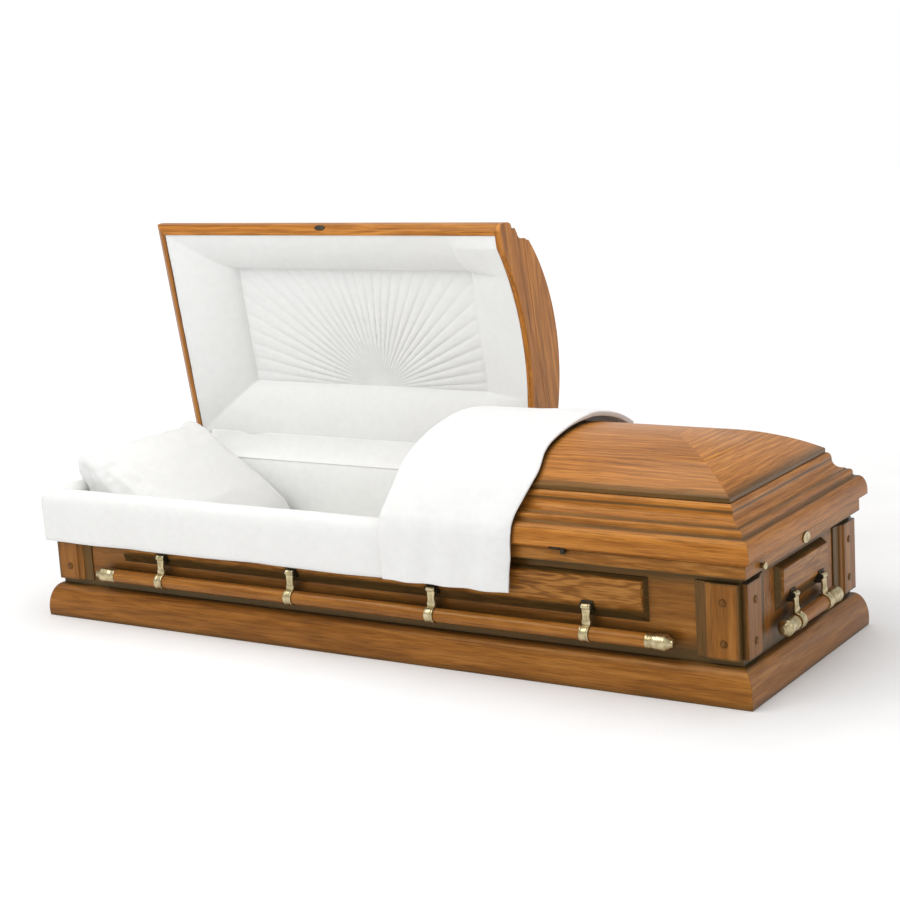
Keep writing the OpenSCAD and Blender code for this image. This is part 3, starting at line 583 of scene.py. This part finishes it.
# widths of the padded rolls at the front, back, lid's end and split
LINING_ROLLS = {-1: (0.122, 0.184, 0.174, 0.147), 1: (0.122, 0.122, 0.142, 0.122)}
LINING_SKIRT = 0.046                        # flat strip along the head lid's hinge
LINING_LOW, LINING_TOP = 0.329, 0.419       # heights of its rim and of its panel
LINING_BACK = 0.4335                        # its hidden face, under the crown


def roll(t, bulge=0.62):
    """Rise of a padded roll from its outer edge, t = 0, to the panel, t = 1."""
    t = min(1.0, max(0.0, t))
    return (1 - bulge) * t + bulge * (1 - math.sqrt(max(0.0, 1 - t * t)))


def lid_surface(x, y, side, sun):
    """Height of the lining of a shut lid; x grows from the split to the lid's end."""
    front_w, back_w, end_w, split_w = LINING_ROLLS[side]
    edge = HW - 0.0275
    dx_end = (HL - 0.0275) - x
    df, db = y + edge, edge - y
    top, low = LINING_TOP, LINING_LOW
    tf, te = df / front_w, dx_end / end_w
    if side < 0:
        tb = (db - LINING_SKIRT) / (back_w - LINING_SKIRT)
    else:
        tb = db / back_w
    t = min(tf, tb, te)
    z = low + (top - low) * roll(t)
    if side < 0 and tb < 0 and tb <= min(tf, te):
        z = low + 0.020 * (1 - db / LINING_SKIRT)
    if t >= 1:
        z = top
    s = (x - LINING_START[side]) / split_w
    if s < 1:
        arch = ARCH_CZ + math.sqrt(max(0.0, ARCH_R ** 2 - y * y))
        arch = max(low - 0.001, arch + 0.0005)
        base = min(z, top)
        f = roll(s, 0.55)
        z = min(base, arch + (max(base, arch) - arch) * f) if base > arch else base
    if sun and t >= 0.999 and s >= 0.999:
        cx, cy = FAN
        rx, ry = x - cx, cy - y
        r = math.hypot(rx, ry)
        a = math.atan2(ry, rx) / math.pi * PLEATS
        k = int(math.floor(a))
        u = a - k
        p = math.sqrt(max(0.0, 1 - (2 * u - 1) ** 2)) if 0 < u < 1 else 0.0
        near = smooth((r - 0.060) / 0.090)
        fade = math.exp(-max(0.0, r - 0.06) / 0.20)
        width = r * math.pi / PLEATS
        amp = min(0.46 * width, 0.0090) * (0.22 + 0.78 * fade) * pleat_amp[k % len(pleat_amp)]
        border = min(1.0, min((t - 1) * front_w, (s - 1) * split_w) / 0.012 + 0.25)
        z -= amp * p * near * border
        z -= 0.0035 * smooth(r / 0.25) * (1 - smooth((r - 0.25) / 0.4))
    # soft unevenness of the padding
    z += 0.0016 * nz(x * 9, y * 9, side) + 0.0007 * nz(x * 31, y * 31, side + 3)
    return z


def lid_lining(name, node, side, body, mat, sun):
    x0 = LINING_START[side]
    x1 = HL - 0.0280
    e = HW - 0.0280
    front_w, back_w, end_w, split_w = LINING_ROLLS[side]
    breaks_x = [x0, x0 + split_w, x1 - end_w, x1]
    breaks_y = [-e, -e + front_w, e - back_w, e]
    if side < 0:
        breaks_y.insert(3, e - LINING_SKIRT)
    step = 0.0042 if sun else 0.010

    def ticks(br):
        out = []
        for a, b in zip(br, br[1:]):
            k = max(2, round((b - a) / step))
            out += [a + (b - a) * i / k for i in range(k)]
        return out + [br[-1]]

    xs, ys = ticks(breaks_x), ticks(breaks_y)
    nx, ny = len(xs), len(ys)
    verts = [Vector((x, y, lid_surface(x, y, side, sun))) for x in xs for y in ys]
    faces = grid_faces(nx, ny)
    # skirt: up along the inside of the frame, then a flat back
    loop = [(i, 0) for i in range(nx)] + [(nx - 1, j) for j in range(1, ny)]
    loop += [(i, ny - 1) for i in range(nx - 2, -1, -1)] + [(0, j) for j in range(ny - 2, 0, -1)]
    prev = [i * ny + j for i, j in loop]
    for lift, zz in ((0.0, 0.350), (0.0145, 0.3665), (0.0640, LINING_BACK)):
        ring = []
        for i, j in loop:
            x, y = xs[i], ys[j]
            x = min(x, x1 - lift)
            y = max(-e + lift, min(e - lift, y))
            z = max(zz, verts[i * ny + j].z + 0.004)
            ring.append(len(verts))
            verts.append(Vector((x, y, min(z, LINING_BACK))))
        for a in range(len(loop)):
            b = (a + 1) % len(loop)
            faces.append([prev[a], prev[b], ring[b], ring[a]])
        prev = ring
    faces.append(prev[::-1])
    if side < 0:
        verts = [OPEN @ Vector((-v.x, v.y, v.z)) for v in verts]
    o = make(name, verts, faces, body, mat)
    sharpen(o, 24 if not sun else 50)
    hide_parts(node)
    return o


lid_lining("head_lid_pad", "head_lid_lining", -1, "head_lid", CLOTH_FAN, True)
lid_lining("foot_lid_pad", "foot_lid_lining", 1, "foot_lid", CLOTH_LID, False)

# ---------------------------------------------------------------- case lining and bed

WALL_FACE = 0.0665              # inner face of the case lining, in from the base's outline


def rounded_loop(hx, hy, r, n):
    """Points round a rounded rectangle, evenly spread along it."""
    r = min(r, hx, hy)
    straight = [2 * (hy - r), 2 * (hx - r), 2 * (hy - r), 2 * (hx - r)]
    total = sum(straight) + 2 * math.pi * r
    pts = []
    for i in range(n):
        d = total * i / n
        out = None
        corners = [(hx - r, hy - r), (r - hx, hy - r), (r - hx, r - hy), (hx - r, r - hy)]
        for k in range(4):
            L = straight[k]
            if d <= L:
                dirs = [(0, 1), (-1, 0), (0, -1), (1, 0)][k]
                starts = [(hx, r - hy), (hx - r, hy), (-hx, hy - r), (r - hx, -hy)][k]
                out = (starts[0] + dirs[0] * d, starts[1] + dirs[1] * d)
                break
            d -= L
            arc = math.pi / 2 * r
            if d <= arc:
                a = math.radians(90 * k) + d / r
                out = (corners[k][0] + r * math.cos(a), corners[k][1] + r * math.sin(a))
                break
            d -= arc
        pts.append(out or (hx, r - hy))
    return pts


def case_pad():
    ox, oy = HL - 0.0547, HW - 0.0547       # outer face of the lining
    ix, iy = HL - WALL_FACE, HW - WALL_FACE
    top, foot = 0.318, 0.150                # of the wall's inner face
    rings = []
    # outer face, rim and inner face, as (kind, height, how far in from the outer face)
    levels = [("o", 0.0305, 0.0), ("o", top, 0.0), ("r", 0.3235, 0.003), ("r", 0.3250, 0.006),
              ("r", 0.3235, 0.0095), ("i", top, 0.0)]
    for k in range(1, 15):
        levels.append(("i", lerp(top, foot, k / 14), 0.0))
    N = 420
    for kind, z, off in levels:
        if kind == "o":
            pts = rounded_loop(ox, oy, 0.004, N)
        elif kind == "r":
            pts = rounded_loop(ox - off, oy - off, 0.006 + off, N)
        else:
            pts = rounded_loop(ix, iy, 0.030, N)
        ring = []
        for x, y in pts:
            zz = z
            if kind == "i":
                t = (top - z) / (top - foot)
                # the wall's padding swells, and its cloth falls in soft upright folds
                swell = 0.012 * math.sin(math.pi * min(1, t * 1.02)) ** 0.8
                fold = 0.0042 * nz(x * 13, y * 13, 0.6 * t) * smooth(t * 2.2) * (1.0 if t < 0.98 else 0.4)
                if abs(abs(x) - ix) < 0.03:
                    x *= 1 - (swell + fold) / ix
                if abs(abs(y) - iy) < 0.03:
                    y *= 1 - (swell + fold) / iy
                zz = z + 0.0015 * nz(x * 6, y * 6, 2)
            ring.append(Vector((x, y, zz)))
        rings.append(ring)
    # the bed: a quilted mattress with a rounded edge
    last = rings[-1]
    steps = 33
    for k in range(1, steps + 1):
        t = k / steps
        ring = []
        for v in last:
            # shrink towards the bed's middle line
            x = v.x * (1 - t) + math.copysign(max(0.0, abs(v.x) - HW * 0.8), v.x) * t
            y = v.y * (1 - t)
            edge = smooth(t / 0.10)
            z = 0.139 + 0.011 * (1 - edge) - 0.004 * math.sin(math.pi * min(1, t / 0.14))
            z += 0.0012 * nz(x * 5, y * 5, 8) * edge + 0.0010 * nz(x * 17, y * 17, 5) * edge
            ring.append(Vector((x, y, min(z, 0.1398) if t > 0.1 else z)))
        rings.append(ring)
    part = Part()
    part.loops(rings)
    o = make("case_pad", part.v, part.f, "shell", CLOTH_IN)
    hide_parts("case_lining")
    return o


case_pad()

# ---------------------------------------------------------------- simulation of padded cloth


def inflate(o, voxel, cap, pressure, frames):
    """Puffs a closed shape with cloth under pressure; no point moves further than cap."""
    mats = list(o.data.materials)
    rm = o.modifiers.new("remesh", "REMESH")
    rm.mode = "VOXEL"
    rm.voxel_size = voxel
    apply_modifiers(o)
    new = o.data
    if not new.materials:
        for m in mats:
            new.materials.append(m)
    start = [v.co.copy() for v in new.vertices]
    c = o.modifiers.new("cloth", "CLOTH")
    st = c.settings
    st.quality = 5
    st.mass = 0.25
    st.use_pressure = True
    st.uniform_pressure_force = pressure
    st.effector_weights.gravity = 0
    st.tension_stiffness = 12
    st.compression_stiffness = 12
    st.bending_stiffness = 0.6
    scene.frame_start, scene.frame_end = 1, frames
    for f in range(1, frames + 1):
        scene.frame_set(f)
    dg = bpy.context.evaluated_depsgraph_get()
    ev = o.evaluated_get(dg).data
    got = [v.co.copy() for v in ev.vertices]
    o.modifiers.clear()
    scene.frame_set(1)
    for v, a, b in zip(new.vertices, start, got):
        d = b - a
        if d.length > cap:
            d = d.normalized() * cap
        v.co = a + d


# ---------------------------------------------------------------- pillow

PX = WALL_FACE + 0.003 - HL      # where the case lining's head wall ends
PILLOW = [(0.004, 0.172), (0.014, 0.150), (0.030, 0.1425), (0.120, 0.1420), (0.220, 0.1420), (0.320, 0.1425),
          (0.347, 0.150), (0.353, 0.164), (0.348, 0.186), (0.328, 0.224), (0.278, 0.277), (0.232, 0.311),
          (0.186, 0.345), (0.120, 0.392), (0.068, 0.418), (0.010, 0.434), (-0.008, 0.430), (-0.020, 0.416),
          (-0.024, 0.392), (-0.018, 0.368), (-0.006, 0.359), (0.002, 0.345), (0.003, 0.250)]


def spaced(points, n):
    """n points evenly spread round a closed outline."""
    pts = [Vector(p) for p in points]
    seg = [(pts[(i + 1) % len(pts)] - pts[i]).length for i in range(len(pts))]
    total, out, i, acc = sum(seg), [], 0, 0.0
    for k in range(n):
        d = total * k / n
        while acc + seg[i] < d:
            acc += seg[i]
            i += 1
        out.append(pts[i].lerp(pts[(i + 1) % len(pts)], (d - acc) / seg[i]))
    return out


PILLOW_HALF = 0.2475            # half its width, before it is puffed
PILLOW_LOW, PILLOW_SIDE = 0.1412, 0.2500        # the bed under it, and how far it may spread


def pillow():
    n = 170
    loop = spaced(PILLOW, n)
    cx = sum(p.x for p in loop) / n
    cz = sum(p.y for p in loop) / n
    rows = [(-1.0, 0.30), (-1.0, 0.70), (-0.992, 0.88), (-0.975, 0.955), (-0.945, 0.985)]
    rows += [(-0.90 + 1.80 * k / 40, 1.0) for k in range(41)]
    rows += [(-a, b) for a, b in rows[4::-1]]
    rings = []
    for w, s in rows:
        y = w * PILLOW_HALF
        ring = []
        for p in loop:
            hump = 0.010 * (1 - w * w) - 0.006
            high = smooth((p.y - 0.2) / 0.1)
            x = lerp(cx, p.x, s)
            z = lerp(cz, p.y, s) if p.y >= 0.16 else lerp(0.19, p.y, s)
            z += hump * high
            # the ends pull in between the corners
            pull = 0.010 * high * math.sin(math.pi * min(1, max(0, (p.x - 0.0) / 0.33))) * smooth((abs(w) - 0.8) / 0.2)
            tip = smooth((abs(w) - 0.66) / 0.28) * smooth((0.110 - math.hypot(p.x + 0.008, p.y - 0.430)) / 0.100)
            tip *= smooth((s - 0.2) / 0.75)
            ring.append(Vector((PX + x - 0.012 * tip, y - math.copysign(pull * (1 - tip), w),
                                max(0.1415, z + 0.013 * tip))))
        rings.append(ring)
    part = Part()
    part.loops(rings)
    o = make("pillow_soft", part.v, part.f, "shell", CLOTH)
    inflate(o, 0.0065, 0.007, 3.0, 14)
    for v in o.data.vertices:
        c = v.co
        # creases that run in from the corners, and soft dents
        k = 0.0028 * nz(c.x * 11, c.y * 11, c.z * 7) + 0.0012 * nz(c.x * 29, c.y * 29, c.z * 19)
        d1 = abs((c.y + 0.205) - 0.05 * nz(c.x * 5, 0.3)) / 0.010
        seam = -0.004 * math.exp(-d1 * d1) if c.z > 0.24 else 0.0
        nrm = v.normal
        v.co = c + nrm * (k + seam)
        v.co.z = max(PILLOW_LOW, v.co.z)
        v.co.x = max(PX + (0.0005 if v.co.z < 0.357 else -0.030), v.co.x)
        v.co.y = max(-PILLOW_SIDE, min(PILLOW_SIDE, v.co.y))
    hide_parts("pillow")
    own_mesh(o)
    return o


pillow()

# ---------------------------------------------------------------- cloth over the lid's hinge


def hinge_cover():
    sec = [(0.2870, 0.3225), (0.2965, 0.3280), (0.3045, 0.3335), (0.3110, 0.3420), (0.3175, 0.3520),
           (0.3235, 0.3625), (0.3285, 0.3735), (0.3320, 0.3850), (0.3335, 0.3920)]
    n = 210
    verts, k = [], len(sec)
    for i in range(n + 1):
        x = lerp(-0.9905, 0.0925, i / n)
        for j, (y, z) in enumerate(sec):
            mid = math.sin(math.pi * j / (k - 1))
            f = mid * (0.0050 * nz(x * 7, j * 0.10, 6.0) + 0.0022 * nz(x * 24, j * 0.25, 1.0) - 0.002)
            tuck = 0.010 * smooth((-0.955 - x) / 0.035) * mid
            verts.append(Vector((x, y - 0.7 * f - tuck, z + 0.7 * f + tuck)))
    o = make("hinge_cover", verts, grid_faces(n + 1, k), None, CLOTH_IN)
    s = o.modifiers.new("thick", "SOLIDIFY")
    s.thickness = 0.0016
    s.offset = 0
    sub = o.modifiers.new("soft", "SUBSURF")
    sub.levels = sub.render_levels = 1
    apply_modifiers(o)
    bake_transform(o)


hinge_cover()

# ---------------------------------------------------------------- apron over the open edge


def apron():
    # cross-section as (inset, height): out along the flap, over the roll, down inside, back under
    outer = [(0.0085, 0.2110), (0.0040, 0.2118), (0.0022, 0.2150), (0.0020, 0.225), (0.0024, 0.240),
             (0.0020, 0.258), (0.0014, 0.276), (0.0010, 0.294), (0.0008, 0.310), (0.0014, 0.322),
             (0.0040, 0.334), (0.0085, 0.3425), (0.0150, 0.3490), (0.0230, 0.3525), (0.0320, 0.3540),
             (0.0420, 0.3535), (0.0510, 0.3500), (0.0590, 0.3440), (0.0640, 0.3375), (0.0660, 0.3315),
             (0.0655, 0.3275)]
    inner = [(0.0560, 0.3270), (0.0400, 0.3270), (0.0250, 0.3270), (0.0150, 0.3268), (0.0134, 0.3240),
             (0.0132, 0.3100), (0.0130, 0.2800), (0.0130, 0.2500), (0.0130, 0.2250), (0.0128, 0.2135),
             (0.0112, 0.2112)]
    prof = outer + inner
    # path: from the split along the front to the head corner, then to the back corner
    split_x, back_y, corner_r = 0.1045, 0.3235, 0.070
    front_steps, corner_steps, head_steps = 150, 14, 84
    rings = []

    def ring_at(px, py, dx, dy, s):
        """The cross-section at (px, py) on the base's outline; (dx, dy) points inwards, s runs along."""
        out = []
        for q, (d, z) in enumerate(prof):
            hang = smooth((0.330 - z) / 0.11)
            w = 0.0
            if q < len(outer):
                w = 0.0030 * nz(s * 5.5, z * 6, 1.7) + 0.0014 * nz(s * 21, z * 14, 4.1)
                w += 0.0016 * math.sin(s * 30 + 3 * nz(s * 3, 0.1)) * hang
                w *= 0.35 + 0.65 * hang
                w -= 0.0016 * hang
            zz = z
            if q < len(outer) and z > 0.335:
                zz += 0.0022 * nz(s * 7, 3.3) + 0.0010 * nz(s * 24, d * 40)
            if z < 0.22:
                zz += 0.0022 * nz(s * 4.5, 9.1) + 0.0006
            dd = d + min(w, 0.003)
            out.append(Vector((px + dx * dd, py + dy * dd, zz)))
        return out

    for i in range(front_steps + 1):
        x = lerp(split_x, -HL + corner_r, i / front_steps)
        rings.append(ring_at(x, -HW, 0, 1, 2 - x))
    # round the corner: the outline turns on a small radius, the roll follows
    c = Vector((-HL + corner_r, -HW + corner_r))
    for i in range(1, corner_steps):
        a = math.pi / 2 * i / corner_steps
        dx, dy = math.sin(a), math.cos(a)
        # a square corner with softened edge: push the arc out towards the corner
        m = 1 / max(dx, dy)
        px = c.x - corner_r * dx * lerp(1, m, 0.80)
        py = c.y - corner_r * dy * lerp(1, m, 0.80)
        stretch = (Vector((px, py)) - c).length / corner_r
        ring = []
        for v in ring_at(0, 0, 1, 0, 2 + HL - corner_r + corner_r * a):
            d = corner_r - v.x
            ring.append(Vector((c.x - dx * d * stretch, c.y - dy * d * stretch, v.z)))
        rings.append(ring)
    for i in range(head_steps + 1):
        y = lerp(-HW + corner_r, back_y, i / head_steps)
        rings.append(ring_at(-HL, y, 1, 0, 2 + HL + 0.04 + (y + HW)))
    part = Part()
    part.loops(rings)
    o = make("apron_cloth", part.v, part.f, "shell", CLOTH)
    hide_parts("apron")
    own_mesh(o)
    return o


apron()

# ---------------------------------------------------------------- throw over the foot lid


def throw():
    # section from the back hem over the crown and down the front: (y, z) of the lower face
    sec = []
    gap = 0.0060
    R = CROWN_R + gap
    a0, a1 = math.asin(0.262 / R), math.asin(-0.2805 / R)
    for i in range(60):
        a = lerp(a0, a1, i / 59)
        sec.append(Vector((R * math.sin(a), CROWN_CZ + R * math.cos(a))))
    drop = [(-0.300, 0.4500), (-0.322, 0.4225), (-0.342, 0.3950), (-0.3560, 0.3720), (-0.3605, 0.352),
            (-0.3610, 0.330), (-0.3600, 0.305), (-0.3590, 0.275), (-0.3590, 0.245), (-0.3595, 0.2145)]
    for q in drop:
        sec.append(Vector(q))
    # even spacing
    seg = [(sec[i + 1] - sec[i]).length for i in range(len(sec) - 1)]
    total = sum(seg)
    n = 150
    pts, i, acc = [], 0, 0.0
    for k in range(n + 1):
        d = min(total * k / n, total - 1e-9)
        while i < len(seg) - 1 and acc + seg[i] < d:
            acc += seg[i]
            i += 1
        pts.append((sec[i].lerp(sec[i + 1], (d - acc) / seg[i]), d))
    m = 72
    verts = []
    for (p, d), k in zip(pts, range(n + 1)):
        t = d / total                       # 0 at the back hem, 1 at the front hem
        fall = smooth((t - 0.62) / 0.10)    # 1 where it hangs
        q0 = pts[max(0, k - 1)][0]
        q1 = pts[min(n, k + 1)][0]
        tan = (q1 - q0).normalized()
        nor = Vector((-tan.y, tan.x))
        if nor.y < 0 and fall < 0.5 or nor.x > 0 and fall >= 0.5:
            nor = -nor
        # edges of the cloth along X, as it lies
        left = 0.1000 - 0.014 * smooth((t - 0.70) / 0.15) - 0.003 * nz(t * 6, 0.2)
        right = 0.456 + 0.024 * math.exp(-((t - 0.66) / 0.10) ** 2) - 0.012 * smooth((t - 0.86) / 0.14)
        right += 0.003 * nz(t * 7, 5.2)
        for j in range(m + 1):
            u = j / m
            x = lerp(left, right, u)
            off = 0.0015 * nz(x * 10, t * 9, 2.0) + 0.0008 * nz(x * 33, t * 26, 1.0)
            hem = 0.0022 * math.sin(x * 55 + 5 * t) * smooth((t - 0.75) / 0.2)
            off += fall * (0.0030 * nz(x * 14 + t * 3, t * 2.5, 4.0) + hem)
            # diagonal drag folds from the split's edge down to the far corner
            diag = (x - 0.10) * 2.2 - (t - 0.62) * 1.5
            off += 0.0026 * fall * math.sin(26 * diag) * math.exp(-abs(diag) * 1.2)
            lift = 0.0
            if t < 0.45:
                lift = 0.009 * smooth((0.45 - t) / 0.40) + 0.002 * smooth((0.10 - t) / 0.10)
            edge = min(u, 1 - u) * (right - left)
            curl = -0.0034 * math.exp(-edge / 0.008)
            if u < 0.5:
                curl -= 0.0042 * fall * math.exp(-edge / 0.018)
            o2 = max(0.0, 0.0044 + off + lift + curl)
            verts.append(Vector((x, p.x + nor.x * o2, p.y + nor.y * o2)))
    faces = grid_faces(n + 1, m + 1)
    o = make("throw_cloth", verts, faces, "foot_lid", CLOTH)
    # a real thickness, with a rounded hem
    me = o.data
    bm = bmesh.new()
    bm.from_mesh(me)
    bmesh.ops.recalc_face_normals(bm, faces=bm.faces)
    up = sum((f.normal.z for f in bm.faces if f.calc_center_median().z > 0.5), 0.0)
    if up < 0:
        bmesh.ops.reverse_faces(bm, faces=bm.faces)
    bm.to_mesh(me)
    bm.free()
    bulk = o.vertex_groups.new(name="bulk")
    for v in me.vertices:
        thick = smooth((v.co.y + 0.08) / 0.16) * smooth((v.co.x - 0.24) / 0.16) if v.co.z > 0.46 else 0
        bulk.add([v.index], 0.50 + 0.50 * thick, "REPLACE")
    s = o.modifiers.new("thick", "SOLIDIFY")
    s.vertex_group = "bulk"
    s.thickness = 0.0136
    s.offset = 1.0
    s.use_even_offset = False
    b = o.modifiers.new("hem", "BEVEL")
    b.width = 0.0026
    b.segments = 3
    b.limit_method = "ANGLE"
    b.angle_limit = math.radians(60)
    apply_modifiers(o)
    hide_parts("throw")
    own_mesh(o)
    return o


throw()

# ---------------------------------------------------------------- floor, light and camera

fm = Nodes("floor_paper")
g = fm.noise(fm.mapping((1, 1, 1)), 3.0, 2, 0.5)
fm.link(fm.ramp(g, [(0.3, (0.86, 0.86, 0.86)), (0.7, (0.90, 0.90, 0.90))]), fm.b.inputs["Base Color"])
fm.b.inputs["Roughness"].default_value = 0.9
fm.b.inputs["Specular IOR Level"].default_value = 0.1
# further from the object the floor fades to the white of the backdrop
dist = fm.new("VectorMath", operation="LENGTH")
fm.link(fm.obj, dist.inputs[0])
far = fm.new("MapRange")
fm.link(dist.outputs["Value"], far.inputs["Value"])
for k, v in (("From Min", 1.3), ("From Max", 4.0), ("To Min", 0.0), ("To Max", 0.5)):
    far.inputs[k].default_value = v
fm.b.inputs["Emission Color"].default_value = (1, 1, 1, 1)
fm.link(far.outputs[0], fm.b.inputs["Emission Strength"])
bm = bmesh.new()
bmesh.ops.create_grid(bm, x_segments=4, y_segments=4, size=14)
fme = bpy.data.meshes.new("floor")
bm.to_mesh(fme)
bm.free()
floor = bpy.data.objects.new("floor", fme)
scene.collection.objects.link(floor)
fme.materials.append(fm.mat)
floor.location.z = -0.0005

world = bpy.data.worlds.new("studio")
world.use_nodes = True
wt = world.node_tree
up = wt.nodes.new("ShaderNodeSeparateXYZ")
wt.links.new(wt.nodes.new("ShaderNodeTexCoord").outputs["Generated"], up.inputs[0])
sky = wt.nodes.new("ShaderNodeMapRange")        # white near the horizon, dimmer overhead
wt.links.new(up.outputs["Z"], sky.inputs["Value"])
for k, v in (("From Min", 0.06), ("From Max", 0.16), ("To Min", 1.0), ("To Max", 0.62)):
    sky.inputs[k].default_value = v
wt.nodes["Background"].inputs[0].default_value = (1.0, 1.0, 1.0, 1)
wt.links.new(sky.outputs[0], wt.nodes["Background"].inputs[1])
scene.world = world


def area_light(name, loc, aim, size, power, color=(1, 1, 1)):
    d = bpy.data.lights.new(name, "AREA")
    d.shape = "RECTANGLE"
    d.size, d.size_y = size
    d.energy = power
    d.color = color
    o = bpy.data.objects.new(name, d)
    o.location = loc
    o.rotation_euler = (Vector(aim) - Vector(loc)).to_track_quat("-Z", "Y").to_euler()
    scene.collection.objects.link(o)


area_light("key", (-0.6, -2.6, 3.2), (0.1, 0, 0.3), (3.2, 1.6), 52)
area_light("top", (0.3, 0.6, 3.6), (0.1, 0, 0.3), (3.4, 2.4), 46)
area_light("side", (4.2, -1.0, 1.9), (0.8, 0, 0.25), (1.8, 1.8), 10)
area_light("sheen", (-1.9, -1.1, 3.3), (0.3, -0.1, 0.3), (2.2, 0.45), 26, (1.0, 0.97, 0.92))

# lens, place and turn were solved from measured points of the photographed casket
cam = bpy.data.cameras.new("view")
cam.lens = 80.43
cam.sensor_width = 36.0
cam.clip_end = 60
co = bpy.data.objects.new("view", cam)
yaw, pitch, rl = (math.radians(a) for a in (-33.0916, 11.7160, -3.5533))
fwd = Vector((math.sin(yaw) * math.cos(pitch), math.cos(yaw) * math.cos(pitch), -math.sin(pitch)))
right = Vector((math.cos(yaw), -math.sin(yaw), 0))
upv = right.cross(fwd)
r_ = right * math.cos(rl) + upv * math.sin(rl)
u_ = upv * math.cos(rl) - right * math.sin(rl)
turn = Matrix((r_, u_, -fwd)).transposed().to_4x4()
co.matrix_world = Matrix.Translation((2.833995, -4.244123, 1.510656)) @ turn
scene.collection.objects.link(co)
scene.camera = co

scene.view_settings.view_transform = "Standard"
